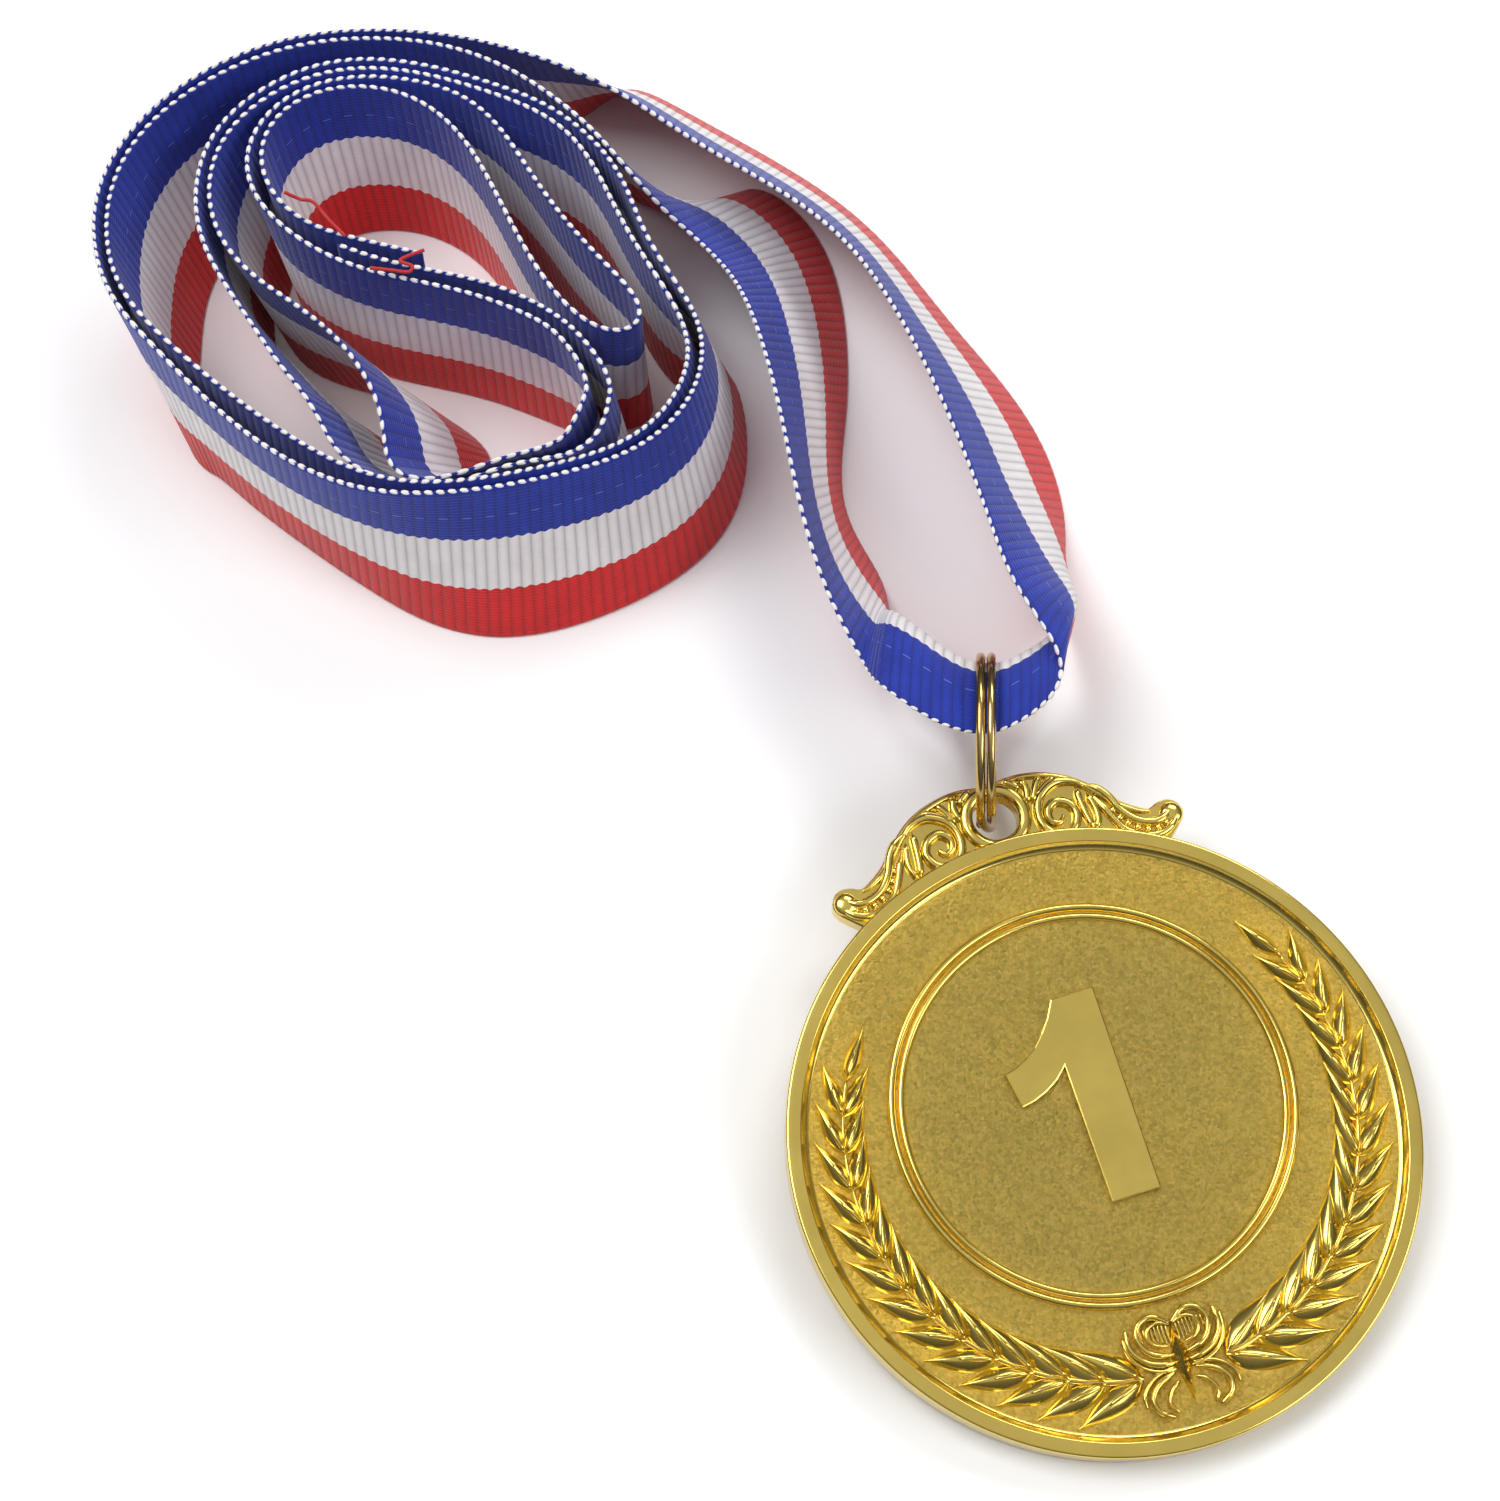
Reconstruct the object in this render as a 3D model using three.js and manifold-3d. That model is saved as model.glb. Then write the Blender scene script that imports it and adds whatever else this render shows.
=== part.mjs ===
// Award medal on a three-colour neck ribbon: a gilt die-cast disc with a
// scrolled crown, a split ring through the crown's hole, and one long woven
// ribbon that is coiled on its edge. Millimetres, +Z up, the object rests on
// z = 0 with the origin under the middle of its bounding box.
import * as THREE from 'three';
import { mergeVertices } from 'three/addons/utils/BufferGeometryUtils.js';
import Module from 'manifold-3d';

// ---------------------------------------------------------------- dimensions
const DISC_R = 32.5;            // medal disc radius
const DISC_T = 3.5;             // overall thickness at the rim
const RIM_W = 1.75;             // flat polished rim
const RIM_SLOPE = 0.55;         // draft inside the rim
const FIELD_Z = -0.95;          // sandblasted field below the rim's face
const BEAD_C = [0.0, 3.35];     // centre of the eccentric double bead
const BEAD_R_OUT = 20.7;        // outer bead, centre line
const BEAD_R_IN = 19.75;        // inner bead, centre line
const BEAD_H = 0.55;            // bead height above the field
const INNER_FIELD_Z = -1.15;    // field inside the bead
const NUMERAL_Z = -0.62;        // top of the raised numeral
const CROWN_BACK_Z = -3.35;     // crown plate, back
const CROWN_TOP_Z = -1.15;      // crown plate, land between the scrolls
const HOLE = [-0.05, 35.2];     // hole in the crown
const HOLE_R = 2.45;
const LIP_R = 3.85;             // raised lip round the hole
const LIP_Z = -0.6;
const LEAF_PAIRS = 12;          // leaf pairs on each laurel branch

const RING_MEAN_R = 9.075;      // split ring, centre line of the wire
const RING_WIRE_R = 0.5;
const RING_PITCH = 1.14;        // distance between its two coils
const RING_CENTRE = [27.6940, -9.5642, 10.6475];
const RING_AXIS = [0.9969, -0.0331, 0.0711];
const RING_OUT = [0.0332, 0.9994, 0.0000];
const RING_UP = [-0.0710, 0.0024, 0.9975];

const MEDAL_CENTRE = [38.7129, -51.4008, 6.8780];     // centre of the disc's front face
const MEDAL_YAW = 0.29336;
const MEDAL_TILT = 0.10472;

const RIBBON_T = 0.45;          // woven tape thickness
const THREAD_R = 0.22;          // sewing thread

// Ribbon stations: top edge, middle and bottom edge, three coordinates each.
const RIBBON_ROUTE = {
  ribbon_seam_end_and_inner_front: [
    [-42.98, 46.07, 21.99, -43.05, 46.17, 11.00, -43.10, 46.26, 0.00],
    [-39.24, 44.55, 21.99, -39.26, 44.76, 11.00, -39.28, 44.96, 0.00],
    [-35.62, 43.44, 21.99, -35.62, 43.68, 11.00, -35.63, 43.92, 0.00],
    [-31.85, 42.54, 21.99, -31.85, 42.79, 11.00, -31.85, 43.04, 0.00],
    [-28.07, 41.58, 21.99, -28.07, 41.83, 11.00, -28.07, 42.08, 0.00],
    [-24.43, 40.28, 21.99, -24.42, 40.50, 11.00, -24.39, 40.73, 0.00],
    [-21.11, 38.55, 21.99, -21.00, 38.67, 10.99, -20.84, 38.84, 0.00],
    [-18.24, 36.55, 21.96, -17.77, 36.51, 10.98, -17.19, 36.58, 0.01],
    [-15.73, 33.98, 21.90, -14.68, 34.16, 10.96, -13.62, 34.35, 0.03],
    [-13.40, 30.41, 21.82, -12.26, 31.18, 10.92, -11.12, 31.96, 0.01],
    [-12.57, 26.55, 21.81, -11.46, 27.48, 10.90, -10.35, 28.41, -0.00],
    [-13.56, 22.48, 21.76, -12.75, 23.87, 10.88, -11.94, 25.25, 0.00],
    [-16.46, 19.83, 21.36, -16.24, 22.46, 10.68, -16.02, 25.09, 0.00],
    [-20.40, 19.19, 20.72, -20.13, 22.64, 10.36, -19.85, 26.09, -0.00],
    [-25.14, 18.31, 19.99, -23.99, 22.34, 10.00, -22.85, 26.36, 0.00],
    [-30.96, 17.17, 18.37, -27.76, 21.86, 9.19, -24.55, 26.55, -0.00],
    [-35.34, 17.66, 18.28, -31.64, 22.22, 9.14, -27.93, 26.78, 0.00],
    [-39.12, 18.93, 18.91, -35.43, 23.06, 9.45, -31.74, 27.19, 0.00],
    [-42.40, 21.78, 19.46, -38.57, 25.22, 9.73, -34.75, 28.66, -0.00],
    [-44.72, 25.95, 19.65, -40.54, 28.54, 9.82, -36.34, 31.13, -0.00],
    [-47.22, 29.60, 19.99, -43.03, 31.35, 9.98, -38.80, 33.12, 0.00],
    [-49.77, 32.99, 20.39, -45.83, 34.01, 10.18, -41.81, 35.05, 0.00],
    [-52.15, 36.57, 20.69, -48.49, 36.90, 10.33, -44.73, 37.24, 0.00],
    [-54.49, 40.18, 20.89, -51.12, 39.81, 10.42, -47.64, 39.42, 0.00],
    [-56.68, 43.92, 20.93, -53.53, 42.83, 10.45, -50.30, 41.71, 0.00],
    [-58.39, 47.80, 20.87, -55.36, 46.15, 10.43, -52.29, 44.47, 0.00],
    [-59.34, 51.72, 20.81, -56.34, 49.79, 10.40, -53.33, 47.86, 0.00],
    [-59.53, 55.61, 20.79, -56.53, 53.62, 10.40, -53.54, 51.63, 0.00],
    [-58.96, 59.41, 20.81, -56.01, 57.41, 10.41, -53.06, 55.41, 0.00],
    [-57.43, 63.00, 20.92, -54.73, 60.99, 10.45, -51.98, 58.95, 0.00],
    [-54.93, 66.07, 21.15, -52.78, 64.04, 10.56, -50.55, 61.91, 0.00],
  ],
  ribbon_second_turn_outer: [
    [-54.66, 66.33, 21.17, -52.57, 64.29, 10.57, -50.41, 62.16, 0.00],
    [-51.25, 68.88, 21.40, -49.82, 66.81, 10.69, -48.38, 64.67, 0.00],
    [-47.45, 70.72, 21.50, -46.36, 68.64, 10.75, -45.30, 66.58, 0.00],
    [-43.55, 71.65, 21.53, -42.54, 69.59, 10.77, -41.54, 67.58, 0.00],
    [-39.57, 71.75, 21.52, -38.59, 69.66, 10.77, -37.59, 67.65, 0.00],
    [-35.58, 71.19, 21.51, -34.62, 69.03, 10.77, -33.63, 67.02, 0.00],
    [-31.65, 70.14, 21.51, -30.70, 67.98, 10.77, -29.71, 65.97, 0.00],
    [-27.83, 68.79, 21.52, -26.83, 66.72, 10.77, -25.82, 64.70, 0.00],
    [-24.14, 67.29, 21.51, -23.03, 65.28, 10.76, -21.92, 63.27, 0.00],
    [-20.72, 65.50, 21.48, -19.39, 63.55, 10.74, -18.10, 61.54, 0.00],
    [-17.66, 63.18, 21.45, -16.08, 61.33, 10.72, -14.65, 59.33, 0.00],
    [-14.96, 60.35, 21.43, -13.28, 58.52, 10.71, -11.79, 56.52, 0.00],
    [-12.70, 57.12, 21.42, -11.11, 55.20, 10.71, -9.60, 53.20, 0.00],
    [-11.05, 53.51, 21.42, -9.51, 51.54, 10.70, -7.96, 49.53, 0.00],
    [-9.69, 49.79, 21.39, -8.07, 47.89, 10.68, -6.30, 45.93, 0.00],
    [-8.14, 46.22, 21.36, -6.27, 44.89, 10.60, -3.80, 43.41, 0.00],
    [-6.28, 42.79, 21.31, -4.06, 42.80, 10.54, -0.96, 42.76, 0.00],
    [-4.51, 39.60, 21.27, -2.11, 40.48, 10.57, 0.77, 41.39, 0.00],
    [-3.27, 36.62, 21.38, -0.87, 37.15, 10.66, 1.77, 37.69, 0.00],
    [-2.67, 33.61, 21.44, -0.33, 33.28, 10.70, 2.17, 32.94, 0.00],
    [-2.80, 30.53, 21.37, -0.55, 29.34, 10.67, 1.80, 28.11, 0.00],
    [-3.71, 27.50, 21.24, -1.65, 25.58, 10.61, 0.47, 23.61, 0.00],
    [-5.33, 24.67, 21.15, -3.64, 22.21, 10.56, -1.90, 19.69, 0.00],
    [-7.59, 22.22, 21.08, -6.37, 19.36, 10.53, -5.12, 16.44, 0.00],
    [-10.41, 20.31, 20.96, -9.64, 17.10, 10.47, -8.86, 13.81, 0.00],
    [-13.65, 18.94, 20.74, -13.27, 15.36, 10.35, -12.86, 11.65, 0.00],
    [-17.16, 17.90, 20.52, -17.08, 14.02, 10.23, -16.96, 9.97, 0.00],
    [-20.86, 16.96, 20.45, -21.00, 13.01, 10.19, -21.11, 8.86, 0.00],
    [-24.55, 16.09, 20.64, -24.82, 12.39, 10.28, -25.06, 8.49, 0.00],
  ],
  ribbon_first_turn_front_outer: [
    [-24.88, 16.01, 20.66, -25.16, 12.36, 10.29, -25.40, 8.49, 0.00],
    [-28.57, 15.28, 21.05, -28.87, 12.24, 10.49, -29.16, 8.94, 0.00],
    [-32.43, 14.79, 21.50, -32.71, 12.66, 10.71, -33.03, 10.24, 0.00],
    [-36.17, 14.80, 21.81, -36.46, 13.64, 10.88, -36.82, 12.27, 0.00],
    [-39.73, 15.44, 21.94, -40.07, 15.11, 10.95, -40.47, 14.71, 0.00],
    [-43.13, 16.69, 21.96, -43.52, 16.96, 10.97, -43.95, 17.25, 0.00],
    [-46.42, 18.42, 21.94, -46.82, 19.08, 10.96, -47.24, 19.76, 0.00],
    [-49.62, 20.57, 21.93, -49.99, 21.39, 10.96, -50.36, 22.22, 0.00],
    [-52.75, 23.09, 21.94, -53.02, 23.89, 10.97, -53.29, 24.67, 0.00],
    [-55.80, 25.92, 21.94, -55.91, 26.53, 10.96, -55.99, 27.12, 0.00],
    [-58.90, 29.17, 21.88, -58.67, 29.23, 10.89, -58.16, 29.05, 0.00],
    [-62.27, 32.98, 21.61, -61.31, 31.88, 10.71, -59.81, 30.17, 0.00],
    [-65.54, 36.99, 21.07, -63.60, 34.78, 10.47, -61.38, 32.28, 0.00],
    [-68.05, 40.82, 20.56, -65.28, 38.16, 10.26, -62.40, 35.43, 0.00],
    [-69.72, 44.61, 20.18, -66.33, 41.87, 10.08, -62.91, 39.10, 0.00],
    [-70.67, 48.46, 19.92, -66.91, 45.72, 9.96, -63.13, 42.97, 0.00],
    [-70.95, 52.32, 19.87, -67.09, 49.61, 9.94, -63.22, 46.90, 0.00],
    [-70.45, 56.09, 20.03, -66.75, 53.46, 10.01, -63.04, 50.80, 0.00],
    [-69.16, 59.75, 20.30, -65.80, 57.21, 10.14, -62.44, 54.58, 0.00],
    [-67.16, 63.20, 20.60, -64.23, 60.73, 10.29, -61.30, 58.18, 0.00],
    [-64.52, 66.35, 20.90, -62.07, 63.94, 10.45, -59.62, 61.53, 0.00],
    [-61.38, 69.12, 21.17, -59.45, 66.82, 10.59, -57.54, 64.55, 0.00],
    [-57.86, 71.46, 21.40, -56.46, 69.31, 10.70, -55.07, 67.18, 0.00],
    [-54.11, 73.30, 21.56, -53.15, 71.33, 10.78, -52.19, 69.35, 0.00],
    [-50.25, 74.61, 21.66, -49.57, 72.81, 10.83, -48.89, 71.02, 0.00],
    [-46.34, 75.39, 21.74, -45.80, 73.79, 10.87, -45.26, 72.24, 0.00],
    [-42.43, 75.71, 21.82, -41.93, 74.39, 10.91, -41.42, 73.12, 0.00],
    [-38.53, 75.65, 21.89, -38.02, 74.73, 10.94, -37.48, 73.82, 0.00],
    [-34.69, 75.33, 21.93, -34.09, 74.95, 10.95, -33.39, 74.55, 0.00],
    [-30.98, 74.79, 21.88, -30.15, 75.13, 10.92, -29.14, 75.52, 0.00],
    [-27.54, 74.09, 21.68, -26.37, 75.29, 10.81, -24.99, 76.60, 0.00],
  ],
  ribbon_right_strand: [
    [-27.24, 74.02, 21.65, -26.03, 75.31, 10.80, -24.62, 76.70, 0.00],
    [-23.82, 73.23, 21.18, -22.32, 75.56, 10.54, -20.57, 78.11, 0.00],
    [-20.15, 72.41, 20.23, -18.70, 76.18, 10.00, -17.02, 80.40, 0.00],
    [-16.39, 71.53, 18.78, -15.40, 76.96, 9.26, -14.32, 82.79, 0.00],
    [-12.82, 70.29, 17.48, -12.25, 76.87, 8.69, -11.69, 83.59, 0.00],
    [-9.60, 68.36, 16.89, -9.08, 75.39, 8.44, -8.59, 82.42, 0.00],
    [-6.55, 66.06, 16.71, -5.87, 73.18, 8.36, -5.20, 80.30, 0.00],
    [-3.52, 63.74, 16.66, -2.64, 70.88, 8.33, -1.76, 78.01, 0.00],
    [-0.45, 61.51, 16.67, 0.61, 68.61, 8.33, 1.67, 75.71, 0.00],
    [2.62, 59.31, 16.75, 3.84, 66.34, 8.37, 5.06, 73.37, 0.00],
    [5.65, 57.07, 16.86, 7.02, 64.00, 8.43, 8.40, 70.93, 0.00],
    [8.52, 54.71, 16.99, 10.08, 61.52, 8.49, 11.65, 68.34, 0.00],
    [11.10, 52.19, 17.16, 12.93, 58.82, 8.58, 14.76, 65.46, 0.00],
    [13.33, 49.49, 17.41, 15.49, 55.85, 8.70, 17.67, 62.23, 0.00],
    [15.22, 46.65, 17.69, 17.78, 52.66, 8.84, 20.35, 58.68, 0.00],
    [16.88, 43.68, 17.92, 19.87, 49.31, 8.95, 22.86, 54.96, 0.00],
    [18.43, 40.63, 18.02, 21.87, 45.91, 9.00, 25.32, 51.20, 0.00],
    [19.90, 37.55, 17.94, 23.87, 42.51, 8.96, 27.85, 47.48, 0.00],
    [21.32, 34.43, 17.69, 25.87, 39.11, 8.84, 30.43, 43.80, 0.00],
    [22.70, 31.19, 17.37, 27.76, 35.65, 8.68, 32.83, 40.12, 0.00],
    [23.98, 27.90, 17.07, 29.38, 32.25, 8.54, 34.79, 36.60, 0.00],
  ],
  ribbon_bight: [
    [24.09, 27.59, 17.05, 29.52, 31.94, 8.52, 34.95, 36.29, 0.00],
    [24.69, 25.92, 16.94, 30.22, 30.26, 8.47, 35.73, 34.59, 0.00],
    [25.33, 24.05, 16.87, 30.91, 28.39, 8.44, 36.47, 32.72, 0.00],
    [25.94, 22.14, 16.84, 31.55, 26.51, 8.45, 37.09, 30.86, 0.00],
    [26.52, 20.22, 16.87, 32.16, 24.61, 8.51, 37.58, 29.01, 0.00],
    [27.08, 18.29, 16.92, 32.77, 22.72, 8.62, 37.95, 27.19, 0.00],
    [27.62, 16.35, 16.99, 33.40, 20.84, 8.79, 38.20, 25.39, 0.00],
    [28.13, 14.41, 17.09, 34.06, 18.98, 9.02, 38.34, 23.59, 0.00],
    [28.63, 12.47, 17.21, 34.72, 17.12, 9.31, 38.35, 21.71, 0.00],
    [29.14, 10.52, 17.39, 35.36, 15.27, 9.66, 38.24, 19.65, 0.00],
    [29.70, 8.51, 17.68, 35.96, 13.43, 10.08, 38.04, 17.28, 0.00],
    [30.38, 6.38, 18.10, 36.50, 11.65, 10.63, 37.76, 14.50, 0.06],
    [31.25, 4.09, 18.68, 36.99, 9.93, 11.34, 37.53, 11.50, 0.31],
    [32.33, 1.68, 19.35, 37.37, 8.34, 12.23, 37.49, 8.98, 0.95],
    [33.44, -0.72, 19.90, 37.57, 6.84, 13.16, 37.39, 6.76, 2.14],
    [34.29, -2.81, 20.38, 37.52, 5.43, 13.99, 37.12, 4.51, 3.05],
    [34.81, -4.79, 20.64, 37.22, 4.07, 14.69, 36.69, 2.42, 3.83],
    [34.82, -6.55, 20.69, 36.58, 2.77, 15.19, 36.04, 0.56, 4.30],
    [34.27, -8.11, 20.50, 35.56, 1.52, 15.46, 35.14, -1.05, 4.38],
    [33.18, -9.42, 19.98, 34.17, 0.31, 15.48, 33.95, -2.37, 4.29],
    [31.70, -10.45, 19.21, 32.51, -0.87, 15.29, 32.55, -3.37, 4.31],
    [30.05, -11.19, 18.42, 30.74, -1.79, 15.01, 31.01, -4.06, 4.46],
    [28.36, -11.70, 17.86, 28.98, -2.36, 14.79, 29.46, -4.48, 4.54],
    [26.63, -11.83, 17.66, 27.23, -2.40, 14.75, 27.91, -4.47, 4.45],
    [24.85, -11.66, 17.71, 25.49, -2.04, 14.85, 26.37, -4.11, 4.26],
    [23.01, -11.20, 18.07, 23.75, -1.17, 15.16, 24.89, -3.26, 3.97],
    [21.21, -10.47, 18.48, 22.09, -0.05, 15.52, 23.47, -2.02, 3.96],
    [19.60, -9.50, 18.71, 20.64, 1.12, 15.74, 22.16, -0.47, 4.32],
    [18.27, -8.43, 18.64, 19.47, 2.12, 15.63, 21.05, 1.21, 4.57],
    [17.22, -7.41, 18.36, 18.59, 3.02, 15.16, 20.17, 2.86, 4.27],
    [16.39, -6.45, 17.91, 17.94, 3.84, 14.38, 19.45, 4.51, 3.52],
    [15.79, -5.51, 17.25, 17.53, 4.56, 13.21, 18.85, 6.12, 2.40],
    [15.34, -4.52, 16.46, 17.28, 5.23, 11.75, 18.16, 7.31, 0.66],
    [14.92, -3.37, 15.74, 17.04, 5.95, 10.30, 18.10, 10.02, 0.09],
    [14.40, -2.05, 15.24, 16.66, 6.81, 9.13, 17.95, 12.79, 0.00],
    [13.73, -0.53, 15.05, 16.08, 7.88, 8.37, 17.53, 14.87, 0.00],
    [12.93, 1.16, 15.14, 15.30, 9.18, 7.99, 16.92, 16.56, 0.00],
    [12.04, 3.00, 15.44, 14.40, 10.67, 7.91, 16.20, 18.10, 0.00],
    [11.16, 4.96, 15.85, 13.47, 12.31, 8.00, 15.45, 19.60, 0.00],
    [10.35, 7.02, 16.30, 12.62, 14.06, 8.17, 14.73, 21.12, 0.00],
    [9.62, 9.13, 16.75, 11.89, 15.89, 8.37, 14.10, 22.68, 0.00],
    [8.98, 11.30, 17.15, 11.30, 17.77, 8.56, 13.60, 24.28, 0.00],
    [8.42, 13.51, 17.50, 10.84, 19.69, 8.74, 13.26, 25.92, 0.00],
    [7.91, 15.74, 17.81, 10.48, 21.64, 8.89, 13.08, 27.58, 0.00],
    [7.45, 17.98, 18.03, 10.23, 23.61, 9.00, 13.03, 29.28, 0.00],
    [7.07, 20.01, 18.16, 10.06, 25.42, 9.06, 13.08, 30.87, 0.00],
  ],
  ribbon_left_strand: [
    [7.00, 20.38, 18.18, 10.04, 25.76, 9.07, 13.09, 31.17, 0.00],
    [6.26, 24.58, 18.15, 9.83, 29.64, 9.06, 13.40, 34.75, 0.00],
    [5.51, 28.81, 17.88, 9.63, 33.71, 8.93, 13.76, 38.63, 0.00],
    [4.67, 32.97, 17.48, 9.31, 37.76, 8.73, 13.94, 42.58, 0.00],
    [3.73, 36.99, 16.97, 8.81, 41.80, 8.47, 13.90, 46.63, 0.00],
    [2.71, 40.78, 16.25, 8.14, 45.80, 8.12, 13.60, 50.84, 0.00],
    [1.59, 44.22, 15.29, 7.23, 49.73, 7.63, 12.91, 55.26, 0.00],
    [0.27, 47.32, 14.20, 5.93, 53.50, 7.08, 11.62, 59.70, 0.00],
    [-1.39, 50.16, 13.33, 4.06, 56.99, 6.65, 9.53, 63.83, 0.00],
    [-3.39, 52.64, 13.06, 1.62, 59.92, 6.50, 6.65, 67.22, 0.00],
    [-5.56, 54.43, 13.87, -1.06, 61.60, 6.86, 3.52, 68.89, 0.00],
    [-7.77, 55.50, 16.00, -3.58, 61.57, 7.84, 0.80, 67.91, 0.00],
    [-10.00, 56.86, 18.39, -6.10, 61.17, 9.05, -1.92, 65.79, 0.00],
    [-12.41, 59.23, 19.91, -8.95, 62.12, 9.87, -5.25, 65.24, 0.00],
    [-15.03, 62.17, 20.68, -12.08, 64.21, 10.28, -8.90, 66.47, 0.00],
    [-17.90, 64.99, 21.13, -15.39, 66.48, 10.53, -12.69, 68.14, 0.00],
    [-20.99, 67.56, 21.48, -18.92, 68.42, 10.71, -16.67, 69.39, 0.00],
    [-24.28, 69.83, 21.71, -22.65, 69.98, 10.84, -20.85, 70.13, 0.00],
    [-27.74, 71.72, 21.82, -26.50, 71.27, 10.90, -25.17, 70.77, 0.00],
    [-31.32, 73.13, 21.84, -30.43, 72.27, 10.91, -29.49, 71.35, 0.00],
    [-35.08, 74.06, 21.82, -34.43, 72.86, 10.91, -33.76, 71.62, 0.00],
    [-39.01, 74.51, 21.77, -38.48, 73.05, 10.88, -37.94, 71.53, 0.00],
    [-43.04, 74.54, 21.71, -42.53, 72.87, 10.84, -42.01, 71.11, 0.00],
    [-47.10, 74.11, 21.63, -46.51, 72.24, 10.80, -45.91, 70.27, 0.00],
    [-51.19, 73.12, 21.51, -50.34, 71.03, 10.75, -49.47, 68.86, 0.00],
    [-55.23, 71.50, 21.34, -53.94, 69.24, 10.66, -52.59, 66.88, 0.00],
    [-58.91, 69.40, 21.15, -57.12, 67.05, 10.55, -55.25, 64.58, 0.00],
  ],
  ribbon_first_turn_front_inner: [
    [-59.22, 69.20, 21.13, -57.38, 66.84, 10.54, -55.47, 64.36, 0.00],
    [-62.44, 66.69, 20.93, -60.16, 64.27, 10.45, -57.80, 61.77, 0.00],
    [-65.30, 63.67, 20.71, -62.56, 61.18, 10.35, -59.77, 58.69, 0.00],
    [-67.49, 60.25, 20.44, -64.31, 57.71, 10.22, -61.07, 55.21, 0.01],
    [-68.88, 56.55, 20.15, -65.32, 53.95, 10.07, -61.72, 51.37, 0.00],
    [-69.45, 52.72, 19.93, -65.65, 50.03, 9.96, -61.84, 47.35, 0.00],
    [-69.26, 48.80, 19.93, -65.50, 46.07, 9.96, -61.73, 43.33, 0.00],
    [-68.34, 44.89, 20.18, -64.96, 42.15, 10.08, -61.54, 39.38, 0.00],
    [-66.62, 41.02, 20.60, -63.91, 38.40, 10.27, -61.07, 35.69, 0.00],
    [-63.94, 37.15, 21.16, -62.16, 35.08, 10.51, -60.04, 32.67, 0.00],
    [-60.50, 33.30, 21.69, -59.73, 32.37, 10.76, -58.50, 30.84, 0.00],
    [-57.02, 29.90, 21.92, -56.92, 29.88, 10.92, -56.68, 29.59, 0.00],
    [-53.81, 27.04, 21.98, -53.99, 27.26, 10.98, -54.16, 27.41, 0.00],
    [-50.66, 24.46, 21.99, -50.95, 24.67, 11.00, -51.24, 24.86, 0.00],
    [-47.47, 22.07, 21.99, -47.81, 22.19, 11.00, -48.14, 22.31, 0.00],
    [-44.24, 19.91, 21.99, -44.58, 19.83, 10.99, -44.93, 19.74, 0.00],
    [-40.91, 18.07, 21.96, -41.25, 17.66, 10.97, -41.60, 17.19, 0.00],
    [-37.41, 16.73, 21.88, -37.74, 15.80, 10.92, -38.11, 14.74, 0.00],
    [-33.71, 16.14, 21.67, -34.04, 14.43, 10.81, -34.43, 12.53, 0.00],
    [-29.87, 16.33, 21.30, -30.20, 13.66, 10.64, -30.57, 10.90, 0.00],
    [-26.01, 17.03, 20.88, -26.28, 13.54, 10.45, -26.59, 10.12, 0.00],
    [-22.21, 17.93, 20.62, -22.36, 14.02, 10.33, -22.56, 10.26, 0.00],
    [-18.52, 18.84, 20.63, -18.50, 14.94, 10.34, -18.52, 11.20, 0.00],
    [-15.00, 19.81, 20.82, -14.74, 16.23, 10.43, -14.51, 12.73, 0.00],
    [-11.77, 21.06, 21.05, -11.18, 17.92, 10.52, -10.59, 14.78, 0.00],
    [-9.01, 22.84, 21.20, -7.96, 20.14, 10.59, -6.88, 17.38, 0.00],
    [-6.83, 25.16, 21.27, -5.24, 22.91, 10.62, -3.59, 20.59, 0.00],
    [-5.25, 27.86, 21.32, -3.19, 26.18, 10.64, -1.05, 24.43, 0.00],
    [-4.37, 30.62, 21.38, -2.06, 29.66, 10.67, 0.38, 28.64, 0.00],
  ],
  ribbon_second_turn_inner: [
    [-4.32, 30.87, 21.39, -2.00, 29.98, 10.67, 0.46, 29.04, 0.00],
    [-4.25, 33.66, 21.41, -1.84, 33.53, 10.68, 0.76, 33.35, 0.00],
    [-4.99, 36.70, 21.38, -2.60, 36.93, 10.65, 0.14, 37.09, 0.00],
    [-6.47, 40.03, 21.37, -4.26, 39.56, 10.61, -1.46, 39.00, 0.00],
    [-8.34, 43.51, 21.32, -6.44, 41.86, 10.61, -4.13, 40.15, 0.00],
    [-10.20, 46.93, 21.29, -8.57, 44.73, 10.63, -6.80, 42.55, 0.00],
    [-11.91, 50.39, 21.31, -10.39, 48.13, 10.65, -8.83, 45.88, 0.00],
    [-13.50, 53.95, 21.32, -12.00, 51.70, 10.66, -10.49, 49.45, 0.00],
    [-15.17, 57.47, 21.33, -13.68, 55.22, 10.66, -12.19, 52.97, 0.00],
    [-17.21, 60.67, 21.34, -15.77, 58.42, 10.67, -14.32, 56.17, 0.00],
    [-19.80, 63.32, 21.37, -18.46, 61.07, 10.68, -17.13, 58.81, 0.00],
    [-22.89, 65.34, 21.40, -21.70, 63.09, 10.70, -20.52, 60.84, 0.00],
    [-26.32, 66.94, 21.43, -25.25, 64.71, 10.71, -24.19, 62.44, 0.00],
    [-29.93, 68.34, 21.44, -28.91, 66.12, 10.71, -27.90, 63.83, 0.00],
    [-33.64, 69.54, 21.42, -32.64, 67.31, 10.70, -31.64, 64.97, 0.00],
    [-37.46, 70.36, 21.41, -36.46, 68.08, 10.70, -35.46, 65.73, 0.00],
    [-41.35, 70.62, 21.41, -40.32, 68.30, 10.71, -39.31, 65.99, 0.00],
    [-45.23, 70.14, 21.40, -44.11, 67.83, 10.71, -43.00, 65.57, 0.00],
    [-49.06, 68.74, 21.37, -47.65, 66.55, 10.68, -46.23, 64.34, 0.00],
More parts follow.
